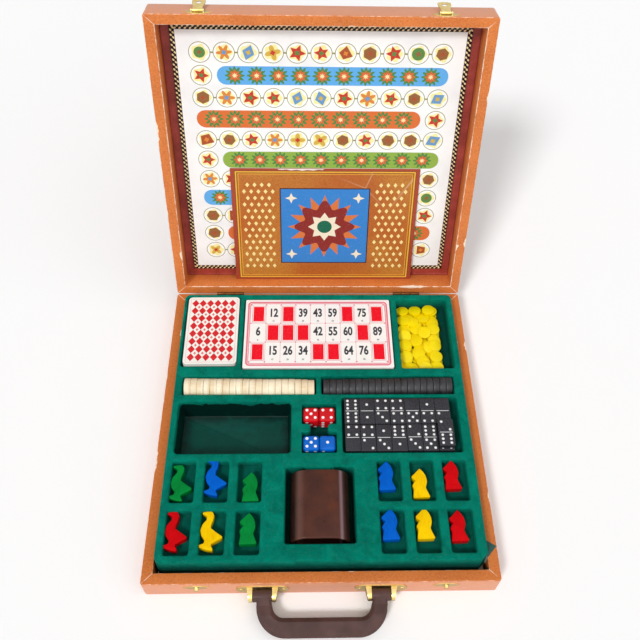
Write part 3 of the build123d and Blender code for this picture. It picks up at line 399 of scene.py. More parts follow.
def leatherette(name, on_lid):
    """Grained paper-backed vinyl, embossed and wrapped: a fine pebble grain that breaks the gloss,
    a cloudy tan print, and pale rubbed edges where the paper shows."""
    sizes = bpy.context.scene.case_sizes
    material, add, place = new_material(name, roughness=0.45, specular_ior_level=0.3)
    place = case_coordinates(add, place, on_lid)
    parts = add("SeparateXYZ", place, out="all")
    x = add("Math", parts[0], operation="ABSOLUTE")
    y = add("Math", parts[1], operation="ABSOLUTE")
    far = add("Math", x, y, operation="MAXIMUM")
    outside = add("Math", HALF_CASE * MM, far, operation="SUBTRACT")
    inside = add("Math", far, HALF_INSIDE * MM, operation="SUBTRACT")
    depth = parts[2]
    # tan print with clouds about 25 mm and 4 mm across
    clouds = add("TexNoise", Vector=place, Scale=42.0, Detail=3.0, Roughness=0.6)
    mottle = add("TexNoise", Vector=place, Scale=620.0, Detail=5.0, Roughness=0.75)
    tan = add("ValToRGB", clouds,
              ramp=((0.35, tuple(sizes.covering_shade)), (0.68, tuple(sizes.covering))))
    face = over(add, tan, "#EE9A5C", mottle, 0.42, 0.72, 0.0, 0.7)
    if not on_lid:
        # the base has browned with handling
        face = add("Mix", 0.35, face, linear("#BC6420"), data_type="RGBA")
    pits = add("TexNoise", Vector=place, Scale=480.0, Detail=3.0, Roughness=0.8)
    face = over(add, face, "#A8501C", pits, 0.5, 0.36, 0.0, 0.45)
    # the outer sides are painted a paler, pinker tan: partly fading of the covering, partly painted light on
    # the sides
    below = add("MapRange", depth, 0.0004, 0.0012)
    outer = add("MapRange", outside, 0.0045, 0.0025)
    side = add("Math", below, outer, operation="MULTIPLY")
    side_fade_and_light = add("Math", side, 0.72, operation="MULTIPLY")
    face = add("Mix", side_fade_and_light, face, tuple(sizes.faded_and_lit_side), data_type="RGBA")
    # rubbed edges: the outer edge of the rim, and on the lid the inner one too
    chips = add("TexNoise", Vector=place, Scale=150.0, Detail=5.0, Roughness=0.7)
    tear = add("TexNoise", Vector=place, Scale=30.0, Detail=2.0)
    tear = add("MapRange", tear, 0.6, 0.66, 1.0, 3.6)
    rub = None
    edges = [(outside, 0.00046 if on_lid else 0.0004), (inside, 0.00062 if on_lid else 0.0004)]
    for distance, width in edges:
        size = add("Math", distance, operation="ABSOLUTE")
        deep = add("Math", depth, operation="ABSOLUTE")
        near = add("Math", size, deep, operation="MAXIMUM")
        ragged = add("MapRange", chips, 0.3, 0.7, 0.3 * width, 1.7 * width)
        ragged = add("Math", ragged, tear, operation="MULTIPLY")
        gap = add("Math", ragged, near, operation="SUBTRACT")
        worn = add("MapRange", gap, 0.0, 0.00028)
        rub = worn if rub is None else add("Math", rub, worn, operation="MAXIMUM")
    # worn corners
    corner = add("Math", x, y, operation="MINIMUM")
    corner = add("MapRange", corner, (HALF_CASE - 2.6) * MM, (HALF_CASE - 0.6) * MM)
    bare = add("MapRange", chips, 0.52, 0.62)
    corner = add("Math", corner, bare, operation="MULTIPLY")
    rub = add("Math", rub, corner, operation="MAXIMUM")
    # pale creases along the mitres of the rim
    mitre = add("Math", x, y, operation="SUBTRACT")
    mitre = add("Math", mitre, operation="ABSOLUTE")
    mitre = add("MapRange", mitre, 0.0002, 0.0007, 0.75, 0.0)
    level = add("Math", depth, operation="ABSOLUTE")
    level = add("MapRange", level, 0.0006, 0.001, 1.0, 0.0)
    broken = add("MapRange", chips, 0.4, 0.52)
    mitre = add("Math", mitre, level, operation="MULTIPLY")
    mitre = add("Math", mitre, broken, operation="MULTIPLY")
    rub = add("Math", rub, mitre, operation="MAXIMUM")
    face = add("Mix", rub, face, linear("#FBE3CC"), data_type="RGBA")
    rough = add("MapRange", rub, 0.0, 1.0, 0.42, 0.8)
    # pebble grain about 1.4 mm across
    grain = add("TexVoronoi", Vector=place, Scale=700.0, Randomness=1.0)
    bump = add("Bump", Height=grain, Strength=0.6, Distance=0.00022, invert=True)
    wave = add("Bump", Height=clouds, Strength=0.25, Distance=0.0009, Normal=bump)
    return coat(material, base_color=face, roughness=rough, normal=wave)


def lining_paper(name, code, light, rough=0.55):
    """Dyed lining paper, glued and rolled flat: a soft satin with faint cloudy shade and creases."""
    material, add, place = new_material(name, roughness=rough)
    cloud = add("TexNoise", Vector=place, Scale=55.0, Detail=4.0)
    fibre = add("TexNoise", Vector=place, Scale=900.0, Detail=3.0)
    both = add("Mix", 0.35, cloud, fibre)
    ramp = add("ValToRGB", both, ramp=((0.38, linear(code)), (0.66, linear(light))))
    bump = add("Bump", Height=both, Strength=0.3, Distance=0.0003)
    return coat(material, base_color=ramp, normal=bump)


def flock(name):
    """Rayon flock, sprayed on thin moulded plastic: short pile with a pale bloom on rounded edges,
    brushed patches, and painted shade that darkens the pockets with depth, where the pile is also crushed
    and dusty."""
    sizes = bpy.context.scene.tray_sizes
    material, add, place = new_material(name, roughness=0.85, specular_ior_level=0.03,
                                          sheen_weight=0.06, sheen_roughness=0.4,
                                          sheen_tint=linear("#2FA78C"))
    height = add("SeparateXYZ", place, out=2)
    pile = add("TexNoise", Vector=place, Scale=1600.0, Detail=2.0)
    brushed = add("TexNoise", Vector=place, Scale=70.0, Detail=5.0, Roughness=0.65, Distortion=0.8)
    both = add("Mix", 0.3, brushed, pile)
    top = add("ValToRGB", both, ramp=((0.34, tuple(sizes.flock_shade)), (0.66, tuple(sizes.flock))))
    # painted shade: the pockets darken with depth below the top, partly also from crushed and dusty pile
    pocket_shade = add("MapRange", height, (TRAY_TOP_Z - 2.5) * MM, (TRAY_TOP_Z - 14.0) * MM, 0.0, 0.9)
    floor = add("Mix", both, linear("#002B27"), linear("#0A4A40"), data_type="RGBA")
    face = add("Mix", pocket_shade, top, floor, data_type="RGBA")
    dust = add("TexNoise", Vector=place, Scale=2600.0, Detail=1.0)
    face = over(add, face, "#8FAFA5", dust, 0.69, 0.74, 0.0, 0.5)
    # the wide empty pocket has lost its pile: dark glossy sheet with a ragged upper edge, and painted shade
    # that darkens it towards its walls
    parts = add("SeparateXYZ", place, out="all")
    reach = []
    inset = []
    for part, centre, half in ((parts[0], SPARE_PLACE[0], 57.5), (parts[1], SPARE_PLACE[1], 29.1)):
        shift = add("Math", part, centre * MM, operation="SUBTRACT")
        size = add("Math", shift, operation="ABSOLUTE")
        reach.append(add("Math", size, half * MM, operation="LESS_THAN"))
        inset.append(add("Math", half * MM, size, operation="SUBTRACT"))
    within = add("Math", reach[0], reach[1], operation="MULTIPLY")
    margin = add("Math", inset[0], inset[1], operation="MINIMUM")
    # painted shade along the walls of the empty pocket, its reach varied by the brushed noise
    wall_shade_reach = add("MapRange", brushed, 0.3, 0.7, 0.006, 0.02)
    wall_shade_reach = add("Math", margin, wall_shade_reach, operation="DIVIDE")
    painted_wall_shade = add("MapRange", wall_shade_reach, 0.3, 1.0, 0.85, 0.0)
    ragged = add("MapRange", brushed, 0.3, 0.7, (TRAY_TOP_Z - 8.5) * MM, (TRAY_TOP_Z - 1.5) * MM)
    worn = add("Math", height, ragged, operation="LESS_THAN")
    worn = add("Math", within, worn, operation="MULTIPLY")
    sheet = add("Mix", brushed, linear("#003029"), linear("#034D42"), data_type="RGBA")
    sheet = add("Mix", painted_wall_shade, sheet, linear("#00110E"), data_type="RGBA")
    face = add("Mix", worn, face, sheet, data_type="RGBA")
    gloss = add("MapRange", worn, 0.0, 1.0, 0.85, 0.42)
    shine = add("MapRange", worn, 0.0, 1.0, 0.03, 0.14)
    bump = add("Bump", Height=pile, Strength=0.35, Distance=0.0002)
    broad = add("Bump", Height=brushed, Strength=0.35, Distance=0.0012, Normal=bump)
    return coat(material, roughness=gloss, specular_ior_level=shine, base_color=face, normal=broad)


def felt(name, code):
    """Wool felt ribbon, pressed: a dull fuzzy weave of loose fibres."""
    material, add, place = new_material(name, roughness=0.9, sheen_weight=0.4)
    fibre = add("TexNoise", Vector=place, Scale=1400.0, Detail=5.0)
    face = add("Mix", fibre, linear("#01221C"), linear(code), data_type="RGBA")
    bump = add("Bump", Height=fibre, Strength=0.6, Distance=0.0003)
    return coat(material, base_color=face, normal=bump)


def card_stock(name, code, shade, rough=0.5, layer=0.0):
    """Coated card, die cut: a bright smooth face, and at its cut edges fine layers of board."""
    material, add, place = new_material(name, roughness=rough)
    grey = add("TexNoise", Vector=place, Scale=30.0, Detail=3.0)
    factor = grey
    if layer:
        height = add("SeparateXYZ", place, out=2)
        count = add("Math", height, layer * MM, operation="DIVIDE")
        line = add("Math", count, operation="FRACT")
        factor = add("Mix", 0.6, grey, line)
    ramp = add("ValToRGB", factor, ramp=((0.3, linear(shade)), (0.62, linear(code))))
    fine = add("TexNoise", Vector=place, Scale=1500.0, Detail=2.0)
    bump = add("Bump", Height=fine, Strength=0.08, Distance=0.0001)
    return coat(material, base_color=ramp, normal=bump)


def printing_ink(name, code, rough=0.45):
    """Offset ink on card, printed: an even film that is slightly thin in specks."""
    material, add, place = new_material(name, roughness=rough, specular_ior_level=0.2)
    speck = add("TexNoise", Vector=place, Scale=800.0, Detail=3.0)
    thin = add("MapRange", speck, 0.6, 0.85, 0.0, 0.2)
    face = add("Mix", thin, linear(code), linear("#F4F0E6"), data_type="RGBA")
    return coat(material, base_color=face)


def leather_print(name):
    """Varnished paper with a printed leather ground: dark stippled grain over an amber glow, and pale
    creases at the upper right."""
    material, add, place = new_material(name, roughness=0.3, specular_ior_level=0.25)
    clouds = add("TexNoise", Vector=place, Scale=14.0, Detail=2.0)
    glow = add("ValToRGB", clouds, ramp=((0.4, linear("#C06A2E")), (0.62, linear("#C98638"))))
    stipple = add("TexNoise", Vector=place, Scale=700.0, Detail=4.0, Roughness=0.7)
    face = over(add, glow, "#8A4418", stipple, 0.44, 0.66, 0.0, 0.55)
    cells = add("TexVoronoi", Vector=place, Scale=13.0, feature="DISTANCE_TO_EDGE")
    line = add("MapRange", cells, 0.003, 0.012, 0.5, 0.0)
    right = add("SeparateXYZ", place)
    right = add("MapRange", right, 15 * MM, 60 * MM, 0.0, 0.8)
    upper = add("SeparateXYZ", place, out=2)
    upper = add("MapRange", upper, 120 * MM, 150 * MM)
    right = add("Math", right, upper, operation="MULTIPLY")
    line = add("Math", line, right, operation="MULTIPLY")
    face = add("Mix", line, face, linear("#E8C8A8"), data_type="RGBA")
    bump = add("Bump", Height=clouds, Strength=0.3, Distance=0.002)
    return coat(material, base_color=face, normal=bump)


def turned_wood(name, pale, dark, pitch, rough=0.5, tones=0.5):
    """Turned and sanded hardwood discs: fine pores and growth lines, each disc of its own tone."""
    material, add, place = new_material(name, roughness=rough, specular_ior_level=0.4)
    parts = add("SeparateXYZ", place, out="all")
    index = add("Math", parts[0], pitch * MM, operation="DIVIDE")
    index = add("Math", index, 0.18, operation="ADD")
    index = add("Math", index, operation="FLOOR")
    tone = add("TexWhiteNoise", index, noise_dimensions="1D")
    # growth lines 0.9 mm apart across the disc, stretched along its thickness
    lines = add("Mapping", Vector=place, Scale=(150.0, 1100.0, 700.0))
    grain = add("TexNoise", Vector=lines, Scale=1.0, Detail=4.0)
    cloud = add("TexNoise", Vector=place, Scale=130.0, Detail=3.0)
    both = add("Mix", 0.5, grain, cloud)
    mix = add("Mix", tones, both, tone)
    ramp = add("ValToRGB", mix, ramp=((0.2, linear(dark)), (0.62, linear(pale))))
    knots = add("TexVoronoi", Vector=place, Scale=42.0)
    face = over(add, ramp, "#7A5236", knots, 0.03, 0.012, 0.0, 0.6)
    bump = add("Bump", Height=grain, Strength=0.25, Distance=0.00015)
    return coat(material, base_color=face, normal=bump)


def painted_wood(name, code, shade, rough=0.38):
    """Sawn wood dipped in enamel: an even colour, thicker and glossier in hollows, with faint grain."""
    material, add, place = new_material(name, roughness=rough, specular_ior_level=0.07)
    lines = add("Mapping", Vector=place, Scale=(900.0, 160.0, 900.0))
    grain = add("TexNoise", Vector=lines, Scale=1.0, Detail=3.0)
    cloud = add("TexNoise", Vector=place, Scale=90.0, Detail=2.0)
    both = add("Mix", 0.5, grain, cloud)
    ramp = add("ValToRGB", both, ramp=((0.32, linear(shade)), (0.6, linear(code))))
    bump = add("Bump", Height=grain, Strength=0.22, Distance=0.00012)
    return coat(material, base_color=ramp, normal=bump)


def moulded_plastic(name, code, shade, rough=0.2, inner=0.0, shine=0.35):
    """Injection moulded plastic, polished: a clear gloss with faint flow clouds and fine scuffs."""
    material, add, place = new_material(name, specular_ior_level=shine, subsurface_weight=inner,
                                          subsurface_scale=0.002)
    cloud = add("TexNoise", Vector=place, Scale=110.0, Detail=3.0)
    face = add("Mix", cloud, linear(shade), linear(code), data_type="RGBA")
    scuff = add("TexNoise", Vector=place, Scale=700.0, Detail=5.0)
    rub = add("MapRange", scuff, 0.4, 0.75, rough, rough + 0.18)
    bump = add("Bump", Height=scuff, Strength=0.1, Distance=0.0001)
    return coat(material, base_color=face, roughness=rub, normal=bump)


def grained_hide(name, code, light, rough, grain_size, warm="#7A3A24", painted_shoulder_light=None):
    """Finished split leather, pressed round a form: pored grain, a dull wax gloss and warm rubbed
    patches; for a cup on its side, a painted highlight along each shoulder and painted shade past them."""
    material, add, place = new_material(name, specular_ior_level=0.2)
    pores = add("TexVoronoi", Vector=place, Scale=1000.0 / grain_size)
    cloud = add("TexNoise", Vector=place, Scale=60.0, Detail=4.0)
    ramp = add("ValToRGB", cloud, ramp=((0.35, linear(code)), (0.65, linear(light))))
    patch = add("TexNoise", Vector=place, Scale=34.0, Detail=2.0)
    patch = add("MapRange", patch, 0.56, 0.75, 0.0, 0.6)
    face = add("Mix", patch, ramp, linear(warm), data_type="RGBA")
    if painted_shoulder_light:
        # lying on its side, the cup gets a painted highlight along each shoulder and painted shade on its
        # sides past them
        middle_x, half = painted_shoulder_light
        across = add("SeparateXYZ", place)
        across = add("Math", across, middle_x * MM, operation="SUBTRACT")
        # painted highlights: a bright narrow stripe on one shoulder and a dimmer wide stripe on the other
        for line, width, weight, gloss in ((half, 2.6, 0.8, "#8F7278"), (-half, 6.0, 0.45, "#75544A")):
            off = add("Math", across, line * MM, operation="SUBTRACT")
            off = add("Math", off, operation="ABSOLUTE")
            painted_highlight_band = add("MapRange", off, 0.0, width * MM, weight, 0.0, interpolation_type="SMOOTHSTEP")
            face = add("Mix", painted_highlight_band, face, linear(gloss), data_type="RGBA")
        off = add("Math", across, operation="ABSOLUTE")
        # painted shade on the sides that turn away past the shoulder lines
        painted_side_shade = add("MapRange", off, (half + 0.6) * MM, (half + 4.0) * MM, 0.0, 0.75)
        face = add("Mix", painted_side_shade, face, linear("#1E0D0B"), data_type="RGBA")
    rub = add("MapRange", cloud, 0.3, 0.7, rough, rough + 0.12)
    bump = add("Bump", Height=pores, Strength=0.3, Distance=0.00012)
    return coat(material, base_color=face, roughness=rub, normal=bump)


def plated_brass(name, code, rough=0.24, dull="#D9B560"):
    """Brass-plated steel, stamped and tumbled: a soft yellow mirror with fine rubs and dull spots, and
    painted shade where its faces turn away from view.
    """
    material, add, place = new_material(name, metallic=1.0)
    cloud = add("TexNoise", Vector=place, Scale=190.0, Detail=4.0)
    face = add("Mix", cloud, linear(dull), linear(code), data_type="RGBA")
    # painted shade: darker brass where the faces turn away from the view, standing in for dark reflections
    painted_grazing_shade = add("LayerWeight", Blend=0.45, out="Facing")
    face = over(add, face, "#6E5426", painted_grazing_shade, 0.4, 0.85, 0.0, 0.9)
    lines = add("Mapping", Vector=place, Scale=(300.0, 2400.0, 900.0))
    rubs = add("TexNoise", Vector=lines, Scale=1.0, Detail=4.0)
    rub = add("MapRange", rubs, 0.3, 0.7, rough, rough + 0.2)
    bump = add("Bump", Height=rubs, Strength=0.12, Distance=0.0001)
    return coat(material, base_color=face, roughness=rub, normal=bump)


def printing_inks(kind, rough=0.45, **codes):
    """One printing ink of a kind for each named colour."""
    return [printing_ink(f"{name}_{kind}", code, rough) for name, code in codes.items()]


# ---------------------------------------------------------------- properties

def colour(name, code, text):
    return FloatVectorProperty(name=name, description=text, default=linear(code), size=4,
                               subtype="COLOR", min=0.0, max=1.0)


def length(name, value, text):
    return FloatProperty(name=name, description=text, default=value * MM, unit="LENGTH", precision=5)


class CaseSizes(bpy.types.PropertyGroup):
    """Covering of the case."""
    covering: colour("Covering", "#DE7D3A", "Tan of the embossed covering")
    covering_shade: colour("Covering shade", "#CC6E30", "Darker clouds of the covering")
    # paler side colour: partly fading, partly painted light on the outer sides
    faded_and_lit_side: colour("Faded side", "#E2A080", "Pinker tan of the outer sides")
    edge_round: length("Edge round", 0.8, "Radius along the edges of the rims")
    lining_rise: length("Lining rise", 1.6, "How far the lining climbs the lid's sides")


class TraySizes(bpy.types.PropertyGroup):
    """Moulded tray."""
    flock: colour("Flock", "#00856F", "Green of the flock")
    flock_shade: colour("Flock shade", "#005F50", "Brushed-down patches of the flock")
    rim_round: length("Rim round", 1.7, "Radius of the rolled rims of the pockets")
    floor_round: length("Floor round", 1.5, "Radius at the floors of the pockets")
    sheet: length("Sheet", 0.8, "Thickness of the flocked sheet")


class PieceSizes(bpy.types.PropertyGroup):
    """Playing pieces."""
    counter_count: IntProperty(name="Counters", description="Counters in the heap", default=118,
                               min=12, max=160)
    die_round: length("Die round", 3.2, "Radius of the dice's corners")
    tile_edge: length("Tile edge", 0.5, "Round along the edges of the dominoes")
    pawn_edge: length("Pawn edge", 0.45, "Round along the edges of the pawns")
    pip_diameter: length("Pip diameter", 2.7, "Diameter of the pips on dice and dominoes")


class StageSizes(bpy.types.PropertyGroup):
    """Floor, lamps and camera."""
    key_strength: FloatProperty(name="Key strength", description="Strength of the key light",
                                default=1.62, min=0.0)
    fill_strength: FloatProperty(name="Fill strength", description="Strength of the front light",
                                 default=0.95, min=0.0)
    room_light: FloatProperty(name="Room light", description="Strength of the white surroundings",
                              default=0.36, min=0.0, max=1.0)
    camera_lens: FloatProperty(name="Lens", description="Focal length in millimetres", default=43.6)


# ---------------------------------------------------------------- case

LID_SHUT_FACE = at(0, 0, LINING_Z) @ turn(180, "X")
LID_FACE = LID_TURN @ LID_SHUT_FACE          # x, distance up the lid from its middle, height off it
BOARD_HALF_X = 141.3
BOARD_HALF_Y = 141.6
BOARD_FACE = LID_FACE @ at(0, 1.8, 0)
BOARD_PRINT = (BOARD_FACE, "lid", "printed_card")
INK_FILM = 0.02              # thickness of a printed field
LAYER = 0.02                 # step between layers of ink
LEAFLET = (199.0, 142.0)
LEAFLET_PRINT = ("lid", "leaflet_card")
LEAFLET_MIDDLE = 70.8        # height of the middle of its print
LEAFLET_LEAN = math.radians(-2.119)
LEAFLET_FACE = (LID_TURN @ at(5.8, 149.906, 42.0) @ Matrix.Rotation(LEAFLET_LEAN, 4, "X")
                @ at(0, 0, 1.2) @ turn(180, "X"))


def case_shell(name, height):
    """Open box of four wrapped rails: hollow from above, with a recess for its panel below."""
    edge = bpy.context.scene.case_sizes.edge_round / MM
    width = 2 * HALF_CASE
    shell = flat_face(name, rectangle(width, width))
    thicken(shell, height)
    edit(shell, "FACE")
    pick("FACE", lambda face: face.normal.z > 0.9)
    profile([(RAIL, 0.0), (0.0, PANEL - height)])
    bpy.ops.mesh.delete(type="FACE")
    pick("FACE", lambda face: face.normal.z < -0.9)
    profile([(PANEL_LEDGE, 0.0), (0.0, -PANEL)])
    bpy.ops.mesh.delete(type="FACE")
    pick("EDGE", lambda each: each.is_boundary)
    bpy.ops.mesh.bridge_edge_loops()
    outer = (HALF_CASE - 0.1) * MM
    pick("EDGE", lambda each: abs(middle(each).x) > outer and abs(middle(each).y) > outer)
    bpy.ops.mesh.bevel(offset=2.5 * MM, segments=5)
    bpy.ops.mesh.select_all(action="SELECT")
    bpy.ops.mesh.normals_make_consistent(inside=False)
    leave()
    ease_edges(shell, edge, 3)
    return shell


def notch_for_hinges(shell):
    """Round notches in the back rail for the knuckles of both hinges."""
    for x in (-HINGE_X, HINGE_X):
        clear_selection()
        bpy.ops.mesh.primitive_cylinder_add(vertices=32, radius=2.3 * MM, depth=30.6 * MM,
                                            location=(x * MM, HINGE.y, HINGE.z),
                                            rotation=(0, math.pi / 2, 0))
        cutter = bpy.context.object
        finish_modifier(shell, "BOOLEAN", object=cutter, operation="DIFFERENCE")
        remove(cutter)
    smooth(shell)


def rails(half):
    return [f"{half}_{side}_rail" for side in ("front", "back", "left", "right")]


class GAMES_OT_base_case(bpy.types.Operator):
    """Wrapped rails and bottom of the base"""
    bl_idname = "games_case.base_case"
    bl_label = "Base case"

    def execute(self, context):
        covering = leatherette("embossed_vinyl_covering", False)
        shell = case_shell("base_shell", RIM_Z)
        notch_for_hinges(shell)
        dress(shell, covering, "base", rails("base"))
        underside = lining_paper("calendered_backing_paper", "#6E4A34", "#8A6248", 0.7)
        finish_node("base_bottom_panel", underside)
        board = card_stock("greyboard_with_printed_cover", "#C9B79A", "#A58F70", 0.6, 0.5)
        finish_node("draughts_board", board)
        finish_node("race_board", board)
        return {"FINISHED"}


class GAMES_OT_lid_case(bpy.types.Operator):
    """Wrapped rails, outer panel and maroon lining of the lid"""
    bl_idname = "games_case.lid_case"
    bl_label = "Lid case"

    def execute(self, context):
        sizes = context.scene.case_sizes
        covering = leatherette("embossed_vinyl_lid_covering", True)
        shell = case_shell("lid_shell", LID_TOP_Z - LID_RIM_Z)
        settle(shell, at(0, 0, LID_TOP_Z) @ turn(180, "X"))
        notch_for_hinges(shell)
        settle(shell, LID_TURN)
        dress(shell, covering, "lid", rails("lid"))
        finish_node("lid_panel", covering)
        # the lining's edges turn up the sides of the lid
        paper = lining_paper("dyed_lining_paper", "#8A2A1E", "#B5473A", 0.45)
        rise = sizes.lining_rise / MM
        lining = flat_face("lid_lining_sheet", rectangle(299.1, 299.1))
        settle(lining, at(0, 0, rise))
        edit(lining, "FACE")
        profile([(0.05, 0.8 - rise)] + quarter(0.8, 3, True, False))
        leave()
        finish_modifier(lining, "SOLIDIFY", thickness=0.3 * MM, offset=-1)
        smooth(lining)
        settle(lining, LID_FACE)
        dress(lining, paper, "lid", ["lid_lining"])
        return {"FINISHED"}


# ---------------------------------------------------------------- print in the lid

def stamps(name, outline, places, height=0.0):
    """Copies of one flat outline at (x, y, turn, scale) places, as one piece."""
    pattern = flat_face(name, outline)
    copies = []
    for x, y, angle, size in places:
        twin = pattern.copy()
        twin.data = pattern.data.copy()
        bpy.context.collection.objects.link(twin)
        twin.matrix_world = at(x, y, height) @ turn(angle, "Z") @ Matrix.Diagonal((size, size, 1, 1))
        copies.append(twin)
    remove(pattern)
    bpy.context.view_layer.update()
    piece = join(name, copies)
    settle(piece)
    return piece


def ring(name, outer, inner, corner=0.0, height=0.0):
    """Flat frame between two outlines of the same number of corners."""
    piece = flat_face(name, outer)
    if corner:
        round_corners(piece, corner)
    width = (max(p[0] for p in outer) - max(p[0] for p in inner))
    edit(piece, "FACE")
    profile([(width, 0.0)])
    bpy.ops.mesh.delete(type="FACE")
    leave()
    settle(piece, at(0, 0, height))
    return piece


def circle_points(radius, count):
    return [(radius * math.cos(2 * math.pi * k / count), radius * math.sin(2 * math.pi * k / count))
            for k in range(count)]


def star_points(outer, inner, arms):
    return [((outer if k % 2 == 0 else inner) * math.sin(math.pi * k / arms),
             (outer if k % 2 == 0 else inner) * math.cos(math.pi * k / arms))
            for k in range(2 * arms)]


def petal_points(radius, depth, petals, count=48):
    return [((radius + depth * math.cos(petals * a)) * math.cos(a),
             (radius + depth * math.cos(petals * a)) * math.sin(a))
            for a in (2 * math.pi * k / count for k in range(count))]


def printed(piece, material, matrix, body, slot, replaced=()):
    """Print moved to its place and dressed."""
    settle(piece, matrix)
    dress(piece, material, body, replaced)


def print_layers(layers, matrix, body, slot):
    """Stamped outlines in ink, each layer (name, ink, outline, places, height)."""
    for name, ink, outline, places, height in layers:
        printed(stamps(name, outline, places, height), ink, matrix, body, slot)


class GAMES_OT_printed_board(bpy.types.Operator):
    """Race board fixed in the lid, with its rope border, winding rows and panels"""
    bl_idname = "games_case.printed_board"
    bl_label = "Printed board"

    def execute(self, context):
        dark = printing_ink("black_brown_offset_ink", "#1C100B", 0.4)
        board = slab("race_board_print", rectangle(2 * BOARD_HALF_X, 2 * BOARD_HALF_Y), 2.5, 0, 0.2,
                     rim_steps=2)
        printed(board, dark, *BOARD_PRINT, ["printed_board"])
        white = card_stock("laminated_board_paper", "#FDFDFB", "#F1F2F2", 0.3)
        field = slab("race_board_field", rectangle(2 * BOARD_HALF_X - 9.6, 2 * BOARD_HALF_Y - 9.6),
                     INK_FILM)
        printed(field, white, BOARD_FACE @ at(0, 0, 2.51), "lid", "printed_card")
        height = 2.55
        self.rope(height)
        self.track(height)
        self.panels(height)
        return {"FINISHED"}

    def rope(self, height):
        """Two-strand rope border: pale lenses in two staggered files on the dark edge."""
        pale = printing_ink("cream_offset_ink", "#F3DBA8")
        strand = [(-1.35, -0.35), (-0.8, -0.95), (0.4, -0.8), (1.35, 0.35), (0.8, 0.95), (-0.4, 0.8)]
        places = []
        pitch = 4.8
        sides = ((BOARD_HALF_X, BOARD_HALF_Y, 0), (BOARD_HALF_X, BOARD_HALF_Y, 180),
                 (BOARD_HALF_Y, BOARD_HALF_X, 90), (BOARD_HALF_Y, BOARD_HALF_X, -90))
        for half, other, angle in sides:
            count = int((2 * half - 4) / pitch)
            facing = turn(angle, "Z")
            for k in range(count):
                along = -half + 1.8 + (k + 0.5) * (2 * half - 3.6) / count
                for file, shift in ((-1.3, -pitch / 4), (-3.5, pitch / 4)):
                    point = facing @ Vector((along + shift, other + file, 0))
                    places.append((point.x, point.y, angle + 6, 1.0))
        print_layers([("rope_border_strands", pale, strand, places, height)], *BOARD_PRINT)

    def track(self, height):
        """Winding track: straight rows of round stations that turn at alternate sides."""
        olive = printing_ink("olive_offset_ink", "#8F8C46")
        white = printing_ink("station_white_ink", "#FDFDFB")
        straw = printing_ink("straw_offset_ink", "#FAF0A8")
        rows = [TRACK_TOP - 2 * TRACK_PITCH * row for row in range(TRACK_ROWS)]
        stations = []
        for row, level in enumerate(rows):
            stations += [(TRACK_PITCH * (k - 5), level, 0, STATION_SCALE) for k in range(11)]
            if row < TRACK_ROWS - 1:
                side = 1 if row % 2 else -1
                stations.append((5 * TRACK_PITCH * side, level - TRACK_PITCH, 0, STATION_SCALE))
        print_layers([
            ("track_lines", olive, rectangle(10 * TRACK_PITCH, 1.5), [(0, y, 0, 1.0) for y in rows], height),
            ("track_station_rings", olive, circle_points(11.3, 28), stations, height + LAYER),
            ("track_stations", white, circle_points(10.55, 28), stations, height + 2 * LAYER),
            ("track_station_clouds", straw, petal_points(8.3, 1.1, 5, 30), stations, height + 3 * LAYER),
        ], *BOARD_PRINT)
        self.motifs(stations, height + 4 * LAYER)

    def motifs(self, stations, height):
        """Plain ornaments in the stations, each with a heart of another colour."""
        inks = printing_inks("offset_ink", scarlet="#C93A2C", orange="#E08A3C", leaf="#5E8A48",
                             sky="#6C9CCB", umber="#96643A", ochre="#D9B24A", rust="#B0532E")
        shapes = [star_points(7.0, 3.4, 5), petal_points(5.2, 1.9, 6), circle_points(5.2, 20),
                  [(0, 7.0), (5.2, 0), (0, -7.0), (-5.2, 0)],
                  circle_points(6.0, 6), petal_points(4.8, 1.8, 4),
                  [(-5.5, -4.0), (5.5, -4.0), (3.6, 4.6), (-3.6, 4.6)]]
        chooser = random.Random(7)
        order = [chooser.randrange(len(shapes)) for _ in stations]
        for index, shape in enumerate(shapes):
            chosen = [(station[0], station[1], 35 * (k % 7) - 90, 1.05 + 0.04 * (k % 5))
                      for k, station in enumerate(stations) if order[k] == index]
            if chosen:
                print_layers([
                    (f"track_motifs_{index + 1}", inks[index], shape, chosen, height),
                    (f"track_motif_hearts_{index + 1}", inks[(index + 2) % len(inks)],
                     petal_points(1.9, 0.5, 4, 16), chosen, height + LAYER)], *BOARD_PRINT)

    def panels(self, height):
        """Long round-ended panels between the rows, each with a file of petalled wheels."""
        azure, clay, meadow, forest, tile, pale = printing_inks(
            "offset_ink", azure="#62AEEA", clay="#DE7238", meadow="#93B24A", forest="#4F8A46",
            tile="#D9683A", pale="#F7E7A8")
        wheels = []
        for row in range(TRACK_ROWS - 1):
            shift, level = (-0.5 if row % 2 else 0.5) * TRACK_PITCH, TRACK_TOP - TRACK_PITCH * (2 * row + 1)
            panel = slab(f"row_panel_{row + 1}", rectangle(9.7 * TRACK_PITCH, 19.0), INK_FILM, 9.0)
            settle(panel, at(shift, level, height))
            printed(panel, (azure, clay, meadow)[row % 3], *BOARD_PRINT)
            wheels += [(shift + 21.0 * (k - 4.5), level, 0, 0.42) for k in range(10)]
        print_layers([
            ("panel_wheels", forest, petal_points(19.0, 4.0, 12, 96), wheels, height + 2 * LAYER),
            ("panel_wheel_eyes", tile, petal_points(12.0, 2.6, 8, 64), wheels, height + 3 * LAYER),
            ("panel_wheel_hearts", pale, star_points(7.5, 3.4, 8), wheels, height + 4 * LAYER),
        ], *BOARD_PRINT)


